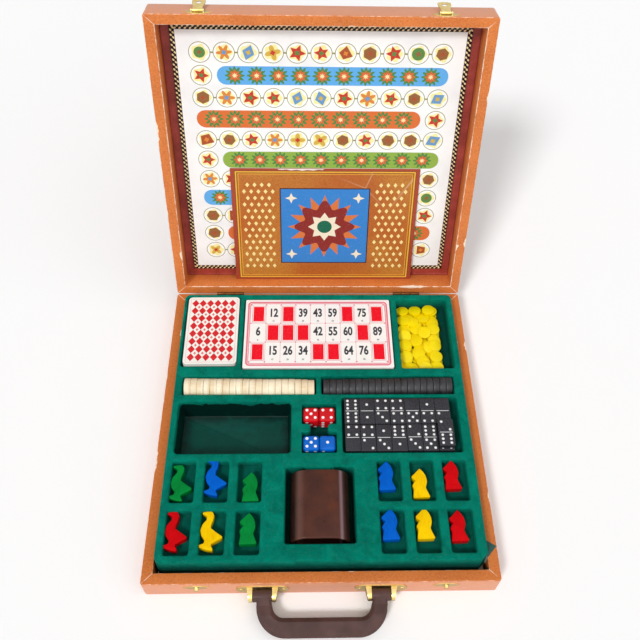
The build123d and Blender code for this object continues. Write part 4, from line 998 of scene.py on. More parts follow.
class GAMES_OT_leaflet(bpy.types.Operator):
    """Printed leaflet that leans in the lid"""
    bl_idname = "games_case.leaflet"
    bl_label = "Leaflet"

    def execute(self, context):
        russet, gold, navy, blue, straw = printing_inks(
            "ink", 0.3, russet_varnished="#A8482F", gold_offset="#F2B63C", navy_offset="#3A2A30",
            blue_offset="#3A84CE", straw_gold="#F8E29A")
        card = slab("leaflet_card", rectangle(*LEAFLET, 0, LEAFLET[1] / 2), 1.2, 0.6, 0.15, rim_steps=2)
        printed(card, russet, LEAFLET_FACE, *LEAFLET_PRINT, ["leaflet"])
        self.field("leaflet_field", leather_print("leather_print_paper"), 189.0, 133.0, LEAFLET[1] / 2, 1.21)
        for name, material, width, length, line, height in (
                ("leaflet_outer_rule", gold, 189.6, 136.4, 1.5, 1.26),
                ("leaflet_inner_rule", gold, 183.4, 130.2, 0.5, 1.26),
                ("leaflet_rule_shadow", navy, 190.5, 137.3, 2.4, 1.24)):
            rule = ring(name, rectangle(width, length), rectangle(width - 2 * line, length - 2 * line),
                        0.0, height)
            printed(rule, material, LEAFLET_FACE @ at(0.2, LEAFLET_MIDDLE, 0), *LEAFLET_PRINT)
        self.field("leaflet_panel_edge", navy, 96.4, 96.4, LEAFLET_MIDDLE, 1.245)
        bare = [(-50, 141.9), (-49, 141.0), (-44, 140.7), (-41, 141.3), (-36, 140.2), (-30, 140.9),
                (-24, 139.9), (-19, 140.8), (-12, 140.1), (-7, 141.2), (-3, 140.6), (-1, 141.9)]
        torn = flat_face("leaflet_torn_edge", bare[::-1])
        settle(torn, at(0, 0, 1.27))
        printed(torn, card_stock("torn_leaflet_paper", "#F4EEE6", "#D8CBBE"), LEAFLET_FACE, *LEAFLET_PRINT)
        self.field("leaflet_panel", blue, 94.0, 94.0, LEAFLET_MIDDLE, 1.26)
        lozenge = [(0, 3.4), (2.5, 0), (0, -3.4), (-2.5, 0)]
        lattice = [(side * (55.5 + 7.6 * column + 3.8 * (row % 2)), 18.8 + 8.0 * row, 0, 0.85)
                   for side in (-1, 1) for row in range(14) for column in range(5 - row % 2)]
        print_layers([("leaflet_lozenges", straw, lozenge, lattice, 1.27)],
                     LEAFLET_FACE, *LEAFLET_PRINT)
        self.star()
        return {"FINISHED"}

    def field(self, name, material, width, length, middle_y, height):
        """Printed rectangle, centred on the leaflet's width."""
        film = slab(name, rectangle(width, length, 0, middle_y), INK_FILM)
        printed(film, material, LEAFLET_FACE @ at(0, 0, height), *LEAFLET_PRINT)

    def star(self):
        """Star wheel in the middle of the blue panel, with a small star in each corner."""
        maroon, clay, green, cream = printing_inks(
            "ink", 0.3, maroon_offset="#8E2F2A", orange_brown="#D97840", deep_green="#1F6A50",
            ivory_offset="#F3E6CC")
        middle = [(0, LEAFLET_MIDDLE, 0, 1.0)]
        corners = [(x, LEAFLET_MIDDLE + y, 0, 1.0) for x in (-36, 36) for y in (-36, 36)]
        print_layers([
            ("leaflet_star_rays", clay, star_points(40.0, 26.0, 16), middle, 1.30),
            ("leaflet_star_petals", maroon, petal_points(28.0, 5.0, 8, 96), middle, 1.32),
            ("leaflet_star_ring", cream, star_points(18.0, 12.0, 8), middle, 1.34),
            ("leaflet_star_eye", green, circle_points(8.0, 28), middle, 1.36),
            ("leaflet_corner_stars", cream, star_points(6.5, 2.6, 4), corners, 1.30),
        ], LEAFLET_FACE, *LEAFLET_PRINT)


# ---------------------------------------------------------------- tray

def grown(points, reach):
    """The outline moved outwards by the reach, all its corners square to X and Y."""
    moved = []
    count = len(points)
    for k, point in enumerate(points):
        before = Vector(point) - Vector(points[k - 1])
        after = Vector(points[(k + 1) % count]) - Vector(point)
        shift = Vector((before.y, -before.x)).normalized() + Vector((after.y, -after.x)).normalized()
        moved.append((point[0] + reach * shift.x, point[1] + reach * shift.y))
    return moved


def pocket_shell(name, outline, corner, depth, draft, rim, floor):
    """Moulded pocket, open above: rolled rim, drafted walls and a rounded floor."""
    shell = flat_face(name, [(x, y, TRAY_TOP_Z) for x, y in grown(outline, rim)])
    round_corners(shell, corner + rim, 6)
    edit(shell, "FACE")
    wall = depth - rim - floor
    inwards = max(wall * math.tan(math.radians(draft)), 0.05)
    profile(quarter(rim, 4, True, True) + [(inwards, -wall)] + quarter(floor, 3, True, False))
    leave()
    return shell


def dice_outline():
    x, y, channel, tongue = 17.076, 26.319, 8.5, 4.5
    right = [(x, -y), (x, -tongue), (channel, -tongue), (channel, tongue), (x, tongue), (x, y)]
    left = [(-x, y), (-x, tongue), (-channel, tongue), (-channel, -tongue), (-x, -tongue), (-x, -y)]
    return [(DICE_PLACE[0] + px, DICE_PLACE[1] + py) for px, py in right + left]


def cup_outline():
    """Pocket of the cup with a finger lobe at each back corner."""
    x, y, reach, inner = 32.5, 34.75, 38.15, 13.5
    points = [(-x, -y), (x, -y), (x, reach), (inner, reach), (inner, y), (-inner, y), (-inner, reach),
              (-x, reach)]
    return [(CUP_PLACE[0] + px, CUP_PLACE[1] + py) for px, py in points]


def tray_pockets(rim, floor):
    """Every pocket: name, outline, corner, depth, draft in degrees, rim and floor rounds."""
    shells = [pocket_shell(*pocket) for pocket in (
        ("deck_pocket", rectangle(58.722, 90.222, *DECK_PLACE), 3.0, 17.5, 2, rim, floor),
        ("loto_pocket", rectangle(161.327, 90.827, *LOTO_PLACE), 3.0, 19.0, 2, rim, floor),
        ("counter_pocket", rectangle(56.0, 89.0, *COUNTER_PLACE), 3.0, 20.0, 2, rim, floor),
        ("spare_pocket", rectangle(*SPARE_POCKET, *SPARE_PLACE), 4.5, 25.0, 8, rim, floor),
        ("dice_pocket", dice_outline(), 1.2, 16.5, 1, 1.2, 0.6),
        ("domino_pocket", rectangle(*DOMINO_POCKET, *DOMINO_PLACE), 3.0, 12.3, 2, rim, floor),
        ("cup_pocket", cup_outline(), 2.6, 28.0, 2, rim, 1.0))]
    for x in TROUGH_X:
        shells.append(pocket_shell("trough", rectangle(136.552, 21.0, x, TROUGH_Y), 1.8, 16.5, 2,
                                   rim, 0.8))
    pawn = pocket_shell("pawn_pocket", rectangle(22.6, 40.2), 2.4, 10.5, 2, rim, 1.0)
    for x in PAWN_COLUMNS:
        for y in PAWN_ROWS:
            shells.append(copy_of(pawn, "pawn_pocket", at(x, y, 0)))
    remove(pawn)
    return shells


def tray_skirt():
    """Outer wall of the tray, drafted, with one corner cut across."""
    width = TRAY_WIDTH / 2 + 1.03
    length = TRAY_DEPTH / 2 + 1.03
    cut = 7.0
    points = [(-width, -length), (width - cut, -length), (width, -length + cut), (width, length),
              (-width, length)]
    skirt = flat_face("tray_skirt", [(x, y + TRAY_CENTRE_Y, TRAY_Z) for x, y in points])
    edit(skirt)
    pick("VERT", lambda vertex: vertex.co.x < 0 or vertex.co.y > 0)
    bpy.ops.mesh.bevel(offset=7.0 * MM, segments=6, affect="VERTICES")
    leave()
    edit(skirt, "FACE")
    profile([(1.0, TRAY_TOP_Z - TRAY_Z - 0.9)] + quarter(0.9, 4, False, False))
    leave()
    return skirt


class GAMES_OT_tray(bpy.types.Operator):
    """Flocked tray with its pockets, and its ribbon tab"""
    bl_idname = "games_case.tray"
    bl_label = "Tray"

    def execute(self, context):
        sizes = context.scene.tray_sizes
        shells = tray_pockets(sizes.rim_round / MM, sizes.floor_round / MM)
        skirt = tray_skirt()
        edit(skirt)
        pick("FACE", lambda face: face.normal.z > 0.99)
        bpy.ops.mesh.delete(type="ONLY_FACE")
        leave()
        tray = join("tray_sheet", [skirt] + shells)
        edit(tray)
        pick("EDGE", lambda each: each.is_boundary and middle(each).z > (TRAY_TOP_Z - 0.01) * MM)
        bpy.ops.mesh.fill(use_beauty=True)
        bpy.ops.mesh.select_all(action="SELECT")
        bpy.ops.mesh.remove_doubles(threshold=0.00001)
        bpy.ops.mesh.normals_make_consistent(inside=False)
        leave()
        top = max(tray.data.polygons, key=lambda face: face.center.z)
        if top.normal.z < 0:
            edit(tray)
            bpy.ops.mesh.flip_normals()
            leave()
        finish_modifier(tray, "SOLIDIFY", thickness=sizes.sheet, offset=-1, use_even_offset=False)
        smooth(tray, 40)
        settle(tray)
        dress(tray, flock("rayon_flocked_tray"), "base", ["tray"])
        finish_node("tray_lift_tab", felt("pressed_felt_ribbon", "#2F6E62"))
        return {"FINISHED"}


# ---------------------------------------------------------------- cards

def stack(name, width, length, height, corner, leaves, rim, wander, seed, lean=0.0):
    """Pile of equal cards, each a little out of line, leaning back by the lean over its height."""
    sheet = slab(name, rectangle(width, length), height / leaves, corner, rim, rim_steps=1)
    chooser = random.Random(seed)
    pile = []
    for index in range(leaves):
        shift_x = chooser.uniform(-wander, wander)
        shift_y = chooser.uniform(-wander, wander) + lean * (index / (leaves - 1) - 0.5)
        place = at(shift_x, shift_y, index * height / leaves) @ turn(chooser.uniform(-0.12, 0.12), "Z")
        pile.append(copy_of(sheet, name, place if index < leaves - 1
                            else at(0, lean / 2, height - height / leaves)))
    remove(sheet)
    return join(name, pile)


def number(name, text, size, squeeze, x, y, height, weight=0.0):
    """A printed number as a flat mesh, centred on its place."""
    clear_selection()
    bpy.ops.object.text_add(location=(0, 0, 0))
    piece = bpy.context.object
    piece.data.body = text
    piece.data.size = size * MM
    piece.data.offset = weight * MM
    piece.data.align_x = "CENTER"
    piece.data.align_y = "CENTER"
    piece.data.resolution_u = 3
    activate(piece)
    bpy.ops.object.convert(target="MESH")
    piece = made(name)
    settle(piece, at(x, y, height) @ Matrix.Diagonal((squeeze, 1, 1, 1)))
    return piece


CARD_PRINT = ("base", "playing_cards")
DECK_FACE = 16.53            # heights of the print on the deck and on the loto cards
LOTO_FACE = 18.83
LOTO_ROWS = [["", "12", "", "39", "43", "59", "", "75", ""],
             ["6", "", "", "", "42", "55", "60", "", "89"],
             ["", "15", "26", "34", "", "", "64", "76", ""]]


class GAMES_OT_cards(bpy.types.Operator):
    """Deck of playing cards and stack of loto cards, with their print"""
    bl_idname = "games_case.cards"
    bl_label = "Cards"

    def execute(self, context):
        self.deck()
        self.loto()
        return {"FINISHED"}

    def deck(self):
        paper = card_stock("linen_finish_card", "#F7F5EF", "#D9D5CB", 0.32, 0.33)
        pile = stack("card_deck_pile", 56.0, 87.0, 16.5, 4.2, 11, 0.12, 0.12, 3, 2.2)
        place = at(DECK_PLACE[0] + 0.5, DECK_PLACE[1] + 0.3, 23.0) @ turn(0.35, "Z")
        printed(pile, paper, place, *CARD_PRINT, ["card_deck"])
        place = place @ at(0, 1.1, 0)
        red = printing_ink("carmine_card_ink", "#D8232A", 0.3)
        pink = printing_ink("thin_carmine_ink", "#E8878A", 0.3)
        frame_line = ring("card_back_rule", rectangle(51.0, 82.4), rectangle(50.5, 81.9), 1.2, DECK_FACE)
        printed(frame_line, pink, place, *CARD_PRINT)
        lozenge = [(0, 4.9), (3.9, 0), (0, -4.9), (-3.9, 0)]
        grid = [(8.1 * (k - 2.5), 10.0 * (row - 3.5), 0, 1.0) for row in range(8) for k in range(6)]
        small = [(8.1 * (k - 2.0), 10.0 * (row - 3.0), 0, 0.4) for row in range(7) for k in range(5)]
        print_layers([("card_back_lozenges", red, lozenge, grid, DECK_FACE),
                      ("card_back_small_lozenges", pink, lozenge, small, DECK_FACE)], place, *CARD_PRINT)

    def loto(self):
        paper = card_stock("pressed_loto_board", "#FBF9F5", "#CFC6BA", 0.35, 0.9)
        pile = stack("loto_card_pile", 158.7, 88.2, 18.8, 1.5, 16, 0.15, 0.18, 5)
        place = at(*LOTO_PLACE, 21.5)
        printed(pile, paper, place, *CARD_PRINT, ["loto_cards"])
        rose = printing_ink("rose_frame_ink", "#E8788A", 0.35)
        red = printing_ink("vermilion_field_ink", "#F20A24", 0.35)
        grey = printing_ink("charcoal_number_ink", "#3A3A40", 0.4)
        top = LOTO_FACE
        outer = ring("loto_outer_frame", rectangle(153.6, 83.1), rectangle(150.0, 79.5), 4.5, top)
        inner = ring("loto_inner_frame", rectangle(149.0, 78.5), rectangle(147.2, 76.7), 2.6, top)
        frames = join("loto_frames", [outer, inner])
        left, upper = -79.5 + 6.8, 44.25 - 7.2
        pitch_x, pitch_y = 16.13, 24.53
        lines = []
        for k in range(1, 9):
            lines.append(slab("loto_line", rectangle(0.3, 3 * pitch_y, left + k * pitch_x,
                                                     upper - 1.5 * pitch_y), 0.01))
        for k in range(1, 3):
            lines.append(slab("loto_line", rectangle(9 * pitch_x, 0.3, left + 4.5 * pitch_x,
                                                     upper - k * pitch_y), 0.01))
        cells = join("loto_lines", lines)
        settle(cells, at(0, 0, top))
        crossings = [(left + k * pitch_x, upper - row * pitch_y, 0, 1.0) for k in range(10)
                     for row in range(4)]
        marks = stamps("loto_crossings", star_points(1.5, 0.6, 4), crossings, top + 0.02)
        printed(join("loto_rose_print", [frames, cells, marks]), rose, place, *CARD_PRINT)
        figures = []
        plates = []
        for row, line in enumerate(LOTO_ROWS):
            for column, text in enumerate(line):
                x = left + (column + 0.5) * pitch_x
                y = upper - (row + 0.5) * pitch_y
                if text:
                    figures.append(number("loto_number", text, 15.0, 0.66, x, y + 1.2, top + 0.02, 0.5))
                    figures.append(number("loto_small_number", text, 3.0, 0.8, x, y - 9.4, top + 0.02, 0.05))
                else:
                    plates.append((x, y, 0, 1.0))
        printed(join("loto_numbers", figures), grey, place, *CARD_PRINT)
        print_layers([("loto_red_plates", red, rectangle(11.4, 19.4), plates, top + LAYER)],
                     place, *CARD_PRINT)
        rules = [ring("loto_rule", rectangle(14.0, 22.0, *plate[:2]), rectangle(13.0, 21.0, *plate[:2]),
                      0.0, top + 0.01) for plate in plates]
        printed(join("loto_plate_rules", rules), rose, place, *CARD_PRINT)


# ---------------------------------------------------------------- playing pieces

def paint(piece, material):
    piece.data.materials.clear()
    piece.data.materials.append(material)
    return piece


def turned_disc(name, diameter, thickness, edge, recess):
    """Draughtsman standing on z = 0: rounded rims and a shallow dished face."""
    disc = cylinder(name, diameter, thickness, 40, thickness / 2)
    settle(disc)
    edit(disc, "FACE")
    pick("FACE", lambda face: abs(face.normal.z) > 0.9)
    bpy.ops.mesh.inset(thickness=diameter * 0.16 * MM, depth=0.0, use_individual=True)
    bpy.ops.mesh.inset(thickness=0.6 * MM, depth=-recess * MM, use_individual=True)
    leave()
    ease_edges(disc, edge, 3)
    smooth(disc)
    return disc


class GAMES_OT_draughts(bpy.types.Operator):
    """Two rows of twenty wooden draughtsmen on edge"""
    bl_idname = "games_case.draughts"
    bl_label = "Draughts"

    def execute(self, context):
        natural = turned_wood("turned_beech_oiled", "#FBEFD2", "#E2C79C", DRAUGHT_PITCH, 0.5, 0.3)
        black = turned_wood("turned_beech_stained", "#303034", "#19191C", DRAUGHT_PITCH, 0.42, 0.3)
        pattern = turned_disc("draughtsman", 19.6, 6.5, 0.75, 0.35)
        chooser = random.Random(11)
        for name, material, centre_x, drift, node, slot in (
                ("natural_draughtsmen", natural, TROUGH_X[0], -0.9, "natural_draughts", "natural_wood"),
                ("black_draughtsmen", black, TROUGH_X[1], 1.0, "black_draughts", "black_wood")):
            row = []
            for index in range(20):
                x = centre_x + (index - 9.5) * DRAUGHT_PITCH
                y = TROUGH_Y + chooser.uniform(-0.25, 0.25) + drift * (index / 9.5 - 1)
                z = 34.0 + chooser.uniform(-0.1, 0.15)
                if name.startswith("natural") and index == 19:
                    z -= 0.2
                    y -= 0.3
                lean = chooser.uniform(-0.6, 0.6)
                place = (at(x - 3.25, y, z) @ turn(90 + lean, "Y") @ turn(chooser.uniform(-1, 1), "X")
                         @ turn(chooser.uniform(0, 360), "Z"))
                row.append(copy_of(pattern, name, place))
            dress(join(name, row), material, "base", [node])
        remove(pattern)
        return {"FINISHED"}


PIP_PLACES = {
    0: [], 1: [(0, 0)], 2: [(-1, 1), (1, -1)], 3: [(-1, 1), (0, 0), (1, -1)],
    4: [(-1, -1), (-1, 1), (1, -1), (1, 1)], 5: [(-1, -1), (-1, 1), (1, -1), (1, 1), (0, 0)],
    6: [(-1, -1), (-1, 0), (-1, 1), (1, -1), (1, 0), (1, 1)],
}


def pips(name, value, step_x, step_y, diameter, height):
    """Round pips of one face as a thin raised print."""
    if not value:
        return []
    dot = flat_face(name, circle_points(diameter / 2, 14))
    dots = [copy_of(dot, name, at(x * step_x, y * step_y, height)) for x, y in PIP_PLACES[value]]
    remove(dot)
    return dots


class GAMES_OT_dice(bpy.types.Operator):
    """Two red and two blue dice with white pips"""
    bl_idname = "games_case.dice"
    bl_label = "Dice"

    def die(self, name, plastic, white, top, front):
        """Rounded cube with the given top and front values."""
        radius = bpy.context.scene.piece_sizes.die_round / MM
        clear_selection()
        bpy.ops.mesh.primitive_cube_add(size=DIE * MM)
        body = bpy.context.object
        body.name = name
        ease_edges(body, radius, 6, 30)
        smooth(body, 60)
        paint(body, plastic)
        side = [value for value in range(1, 7) if value not in (top, 7 - top, front, 7 - front)][0]
        faces = [(top, turn(0, "X")), (7 - top, turn(180, "X")), (front, turn(90, "X")),
                 (7 - front, turn(-90, "X")), (side, turn(90, "Y")), (7 - side, turn(-90, "Y"))]
        marks = []
        for value, facing in faces:
            for dot in pips(name, value, 4.1, 4.1, 3.0, DIE / 2 + 0.01):
                settle(dot, facing)
                marks.append(paint(dot, white))
        return join(name, [body] + marks)

    def execute(self, context):
        red = moulded_plastic("cast_red_acrylic", "#E4101E", "#C00A16", 0.08, 0.1, 0.2)
        blue = moulded_plastic("cast_blue_acrylic", "#0072DC", "#0058B8", 0.08, 0.1, 0.2)
        white = moulded_plastic("white_pip_enamel", "#FFFFFF", "#F0F0F0", 0.25)
        for name, plastic, row, values, slot in (
                ("red_dice", red, 1, ((5, 3), (4, 6)), "red_plastic"),
                ("blue_dice", blue, -1, ((5, 4), (1, 2)), "blue_plastic")):
            pair = []
            for side, (top, front) in zip((-1, 1), values):
                die = self.die(name + "_pair", plastic, white, top, front)
                settle(die, at(DICE_PLACE[0] + side * DIE / 2, DICE_PLACE[1] + row * DICE_STEP_Y, 32.0))
                pair.append(die)
            dress(join(name + "_pair", pair), [plastic, white], "base", [name])
        return {"FINISHED"}


BACK_TILES = [(6, 6), (1, 1), (4, 3), (4, 4), (0, 5), (1, 4), (0, 2)]
FRONT_TILES = [(4, 0), (4, 2), (1, 3), (6, 1), (2, 3), (6, 5), (3, 5)]


class GAMES_OT_dominoes(bpy.types.Operator):
    """Twenty-eight black dominoes in two layers, one lying on top"""
    bl_idname = "games_case.dominoes"
    bl_label = "Dominoes"

    def tile(self, plastic, white, values):
        edge = bpy.context.scene.piece_sizes.tile_edge / MM
        diameter = bpy.context.scene.piece_sizes.pip_diameter / MM
        body = slab("domino", rectangle(15.0, 28.4), 5.9, 0.7, edge, 3, 3)
        paint(body, plastic)
        marks = []
        if values:
            for value, y in zip(values, (7.1, -7.1)):
                for dot in pips("domino_pip", value, 4.0, 4.2, diameter, 5.91):
                    settle(dot, at(0, y, 0))
                    marks.append(paint(dot, white))
            rule = flat_face("domino_rule", rectangle(12.4, 0.55))
            settle(rule, at(0, 0, 5.91))
            marks.append(paint(rule, white))
        return join("domino", [body] + marks)

    def execute(self, context):
        black = moulded_plastic("compression_moulded_black_phenolic", "#33333A", "#202026", 0.22)
        white = moulded_plastic("domino_pip_enamel", "#F8F8F8", "#E2E2E2", 0.35)
        chooser = random.Random(23)
        first = DOMINO_PLACE[0] - DOMINO_POCKET[0] / 2 + 10.15
        tiles = []
        for layer in range(2):
            for row, values in ((1, BACK_TILES), (-1, FRONT_TILES)):
                for column in range(7):
                    if (layer, row, column) == (0, 1, 3):
                        continue
                    tile = self.tile(black, white, values[column] if layer else ())
                    x = first + TILE_STEP[0] * column
                    y = DOMINO_PLACE[1] + row * TILE_STEP[1]
                    if layer:
                        x += chooser.uniform(-0.08, 0.08)
                        y += chooser.uniform(-0.25, 0.4)
                    place = at(x, y, 28.2 + 6 * layer) @ turn(chooser.uniform(-0.35, 0.35), "Z")
                    settle(tile, place)
                    tiles.append(tile)
        tile = self.tile(black, white, (2, 6))
        settle(tile, at(first + 6 * TILE_STEP[0], DOMINO_PLACE[1] - 12.25, 40.2))
        tiles.append(tile)
        dress(join("domino_tiles", tiles), [black, white], "base", ["dominoes"])
        return {"FINISHED"}


class GAMES_OT_counters(bpy.types.Operator):
    """Heap of yellow counters dropped into their pocket"""
    bl_idname = "games_case.counters"
    bl_label = "Counters"

    def counter(self):
        disc = cylinder("counter", *COUNTER, 32)
        ease_edges(disc, 0.25, 2)
        smooth(disc)
        return disc

    def wall(self, size, place, lean=0.0):
        """Fixed wall of the box in which the counters fall, a hundred times full size."""
        clear_selection()
        bpy.ops.mesh.primitive_cube_add(size=1.0, location=[value / 10 for value in place],
                                        rotation=(0, math.radians(lean), 0))
        wall = bpy.context.object
        wall.scale = [value / 10 for value in size]
        bpy.ops.rigidbody.object_add(type="PASSIVE")
        wall.rigid_body.collision_shape = "BOX"
        wall.rigid_body.friction = 0.1
        return wall

    def dropped(self, count):
        """Places of the counters after they have fallen into the pocket, in its own corner's frame."""
        scene = bpy.context.scene
        bpy.ops.rigidbody.world_add()
        scene.rigidbody_world.substeps_per_frame = 20
        scene.rigidbody_world.solver_iterations = 20
        scene.rigidbody_world.point_cache.frame_end = 150
        walls = [self.wall((140, 140, 10), (28, 44, -5)), self.wall((10, 140, 220), (-5, 44, 105)),
                 self.wall((140, 10, 220), (28, -5, 105)), self.wall((140, 10, 220), (28, 93, 105)),
                 self.wall((10, 140, 220), (54.5, 44, 105), 2.0)]
        chooser = random.Random(5)
        discs = []
        for index in range(count):
            clear_selection()
            place = (chooser.uniform(0.9, 3.8), chooser.uniform(0.9, 7.8), 0.6 + 0.15 * index)
            bpy.ops.mesh.primitive_cylinder_add(vertices=16, radius=COUNTER[0] / 20, depth=COUNTER[1] / 10,
                                                location=place,
                                                rotation=(chooser.uniform(-0.12, 0.12),
                                                          chooser.uniform(-0.12, 0.12), 0))
            disc = bpy.context.object
            bpy.ops.rigidbody.object_add(type="ACTIVE")
            disc.rigid_body.collision_shape = "CYLINDER"
            disc.rigid_body.use_margin = True
            disc.rigid_body.collision_margin = 0.005
            disc.rigid_body.friction = 0.12
            disc.rigid_body.restitution = 0.05
            discs.append(disc)
        for step in range(1, 151):
            scene.frame_set(step)
        placed = [disc.matrix_world.copy() for disc in discs]
        for each in discs + walls:
            remove(each)
        bpy.ops.rigidbody.world_remove()
        scene.frame_set(1)
        return placed

    def execute(self, context):
        plastic = moulded_plastic("injection_moulded_yellow_styrene", "#FFEC00", "#F8D200", 0.3, 0.06, 0.22)
        corner = at(COUNTER_PLACE[0] - 27.2, COUNTER_PLACE[1] - 43.4, 21.3)
        heap = []
        pattern = self.counter()
        for place in self.dropped(context.scene.piece_sizes.counter_count):
            shift = Matrix.Translation(place.translation / 100)
            if place.translation.z > 3.0 or place.translation.z < 0:
                continue
            heap.append(copy_of(pattern, "counter_heap", corner @ shift @ place.to_3x3().to_4x4()))
        remove(pattern)
        dress(join("counter_heap", heap), plastic, "base", ["counters"])
        return {"FINISHED"}


GOOSE = [(-8.6, 35.2), (-4.1, 36.0), (-1.0, 36.0), (0.5, 35.1), (1.9, 32.2), (1.1, 27.6), (-0.4, 23.7),
         (-0.5, 20.6), (4.3, 17.0), (10.2, 13.0), (10.5, 12.0), (9.8, 11.1), (4.9, 8.7), (0.9, 6.3),
         (0.8, 4.3), (2.3, 2.2), (2.4, 0.6), (1.8, 0.1), (-2.7, 0.9), (-10.4, 3.4), (-10.6, 4.6),
         (-10.2, 5.2), (-5.9, 6.7), (-5.1, 9.5), (-8.5, 13.7), (-9.8, 18.5), (-8.3, 23.8), (-4.9, 28.0),
         (-4.4, 31.2), (-6.7, 33.0), (-8.8, 33.6)]
HORSE = [(0.1, 28.9), (2.2, 27.1), (3.9, 24.9), (5.3, 22.2), (6.1, 19.4), (6.4, 15.9), (5.6, 12.8),
         (4.7, 10.1), (5.3, 7.8), (8.0, 1.4), (7.8, 0.7), (7.0, 0.4), (-7.2, 0.0), (-7.9, 0.6),
         (-6.7, 8.3), (-7.9, 11.8), (-6.7, 14.1), (-4.3, 17.1), (-7.8, 19.5), (-8.0, 21.1), (-5.0, 23.8)]
GEESE = [("green", -131.6, -88.7, 0.0), ("blue", -99.3, -83.4, 3.0), ("red", -131.8, -134.4, 0.0),
         ("yellow", -100.0, -134.4, 0.0)]
HORSES = [("green", ((-66.0, -89.4), (-66.6, -128.9))), ("blue", ((62.5, -79.1), (63.0, -126.1))),
          ("yellow", ((94.1, -86.9), (94.7, -125.7))), ("red", ((125.1, -78.9), (125.4, -128.0)))]
PAINTS = {"green": ("#008A3A", "#00742F"), "blue": ("#0062D0", "#0055B8"), "red": ("#D6060F", "#BE030B"),
          "yellow": ("#FFD200", "#F2B800")}


class GAMES_OT_pawns(bpy.types.Operator):
    """Painted wooden geese and horses"""
    bl_idname = "games_case.pawns"
    bl_label = "Pawns"

    def execute(self, context):
        edge = context.scene.piece_sizes.pawn_edge / MM
        enamel = {name: painted_wood(f"dipped_{name}_enamel_on_birch", *codes)
                  for name, codes in PAINTS.items()}
        goose = slab("goose_pawn", GOOSE, 7.9, 0, edge, 3, 3)
        horse = slab("horse_pawn", HORSE, 7.9, 0, edge, 3, 3)
        for name, x, y, lean in GEESE:
            piece = copy_of(goose, f"goose_pawn_{name}", at(x, y, PAWN_Z) @ turn(lean, "X"))
            dress(piece, enamel[name], "base", [f"goose_{name}"])
        for name, places in HORSES:
            pair = [copy_of(horse, "horse_pawn", at(x, y, PAWN_Z)) for x, y in places]
            dress(join(f"horse_pawns_{name}", pair), enamel[name], "base",
                  [f"horses_{name}"])
        remove(goose)
        remove(horse)
        return {"FINISHED"}


class GAMES_OT_dice_cup(bpy.types.Operator):
    """Leather dice cup lying on its side"""
    bl_idname = "games_case.dice_cup"
    bl_label = "Dice cup"

    def execute(self, context):
        cup = flat_face("dice_cup_shell", rectangle(54.5, 34.0))
        round_corners(cup, 15.5, 10)
        thicken(cup, 65.0)
        edit(cup, "FACE")
        pick("FACE", lambda face: face.normal.z > 0.9)
        profile([(2.8, 0.0), (0.3, -61.5)])
        leave()
        ease_edges(cup, 1.1, 4)
        smooth(cup)
        settle(cup, at(CUP_PLACE[0], CUP_PLACE[1] + 33.0, 29.5) @ turn(90, "X"))
        hide = grained_hide("pressed_cup_leather", "#432219", "#532C20", 0.26, 0.7, "#6E3216",
                            (CUP_PLACE[0], 19.4))
        dress(cup, hide, "base", ["dice_cup"])
        return {"FINISHED"}


# ---------------------------------------------------------------- handle and fittings

def screw(name, head):
    """Countersunk slotted screw head lying on z = 0, facing up."""
    body = cylinder(name, head, 0.8, 24, 0.05)
    settle(body)
    ease_edges(body, 0.35, 3)
    clear_selection()
    bpy.ops.mesh.primitive_cube_add(size=MM)
    cutter = bpy.context.object
    settle(cutter, at(0, 0, 0.55) @ turn(25, "Z") @ Matrix.Diagonal((head * 1.2, 0.5, 0.5, 1)))
    finish_modifier(body, "BOOLEAN", object=cutter, operation="DIFFERENCE")
    remove(cutter)
    smooth(body)
    return body


class GAMES_OT_fittings(bpy.types.Operator):
    """Handle, brackets, latches and hinges"""
    bl_idname = "games_case.fittings"
    bl_label = "Fittings"

    def execute(self, context):
        brass = plated_brass("stamped_brass_plate", "#FFF0AC", 0.26)
        for name in ("handle_bracket_left", "handle_bracket_right", "keeper_left", "keeper_right",
                     "latch_plate_left", "latch_plate_right", "hasp_left", "hasp_right"):
            finish_node(name, brass, 0.3)
        brown = plated_brass("lacquered_hinge_brass", "#8A5A34", 0.5, "#6E4628")
        for name in ("hinge_base_leaf_left", "hinge_base_leaf_right", "hinge_lid_leaf_left",
                     "hinge_lid_leaf_right"):
            finish_node(name, brown, 0.15)
        finish_node("hinge_pins", brown)
        for name in ("handle_pins", "latch_pins"):
            finish_node(name, brass)
        hide = grained_hide("padded_handle_leather", "#4A3431", "#5A413D", 0.4, 0.8, "#543A34")
        finish_node("handle", hide, 0.6)
        head = screw("bracket_screw", 4.2)
        front = at(0, -HALF_CASE - 1.0, 13.75) @ turn(90, "X")
        heads = []
        for centre in (-53.0, 53.0):
            for side in (-19.0, 19.0):
                heads.append(copy_of(head, "bracket_screws", at(centre + side, 0, 0) @ front
                                     @ turn(side * 7, "Z")))
        remove(head)
        dress(join("bracket_screws", heads), brass, "base")
        return {"FINISHED"}


# ---------------------------------------------------------------- stage

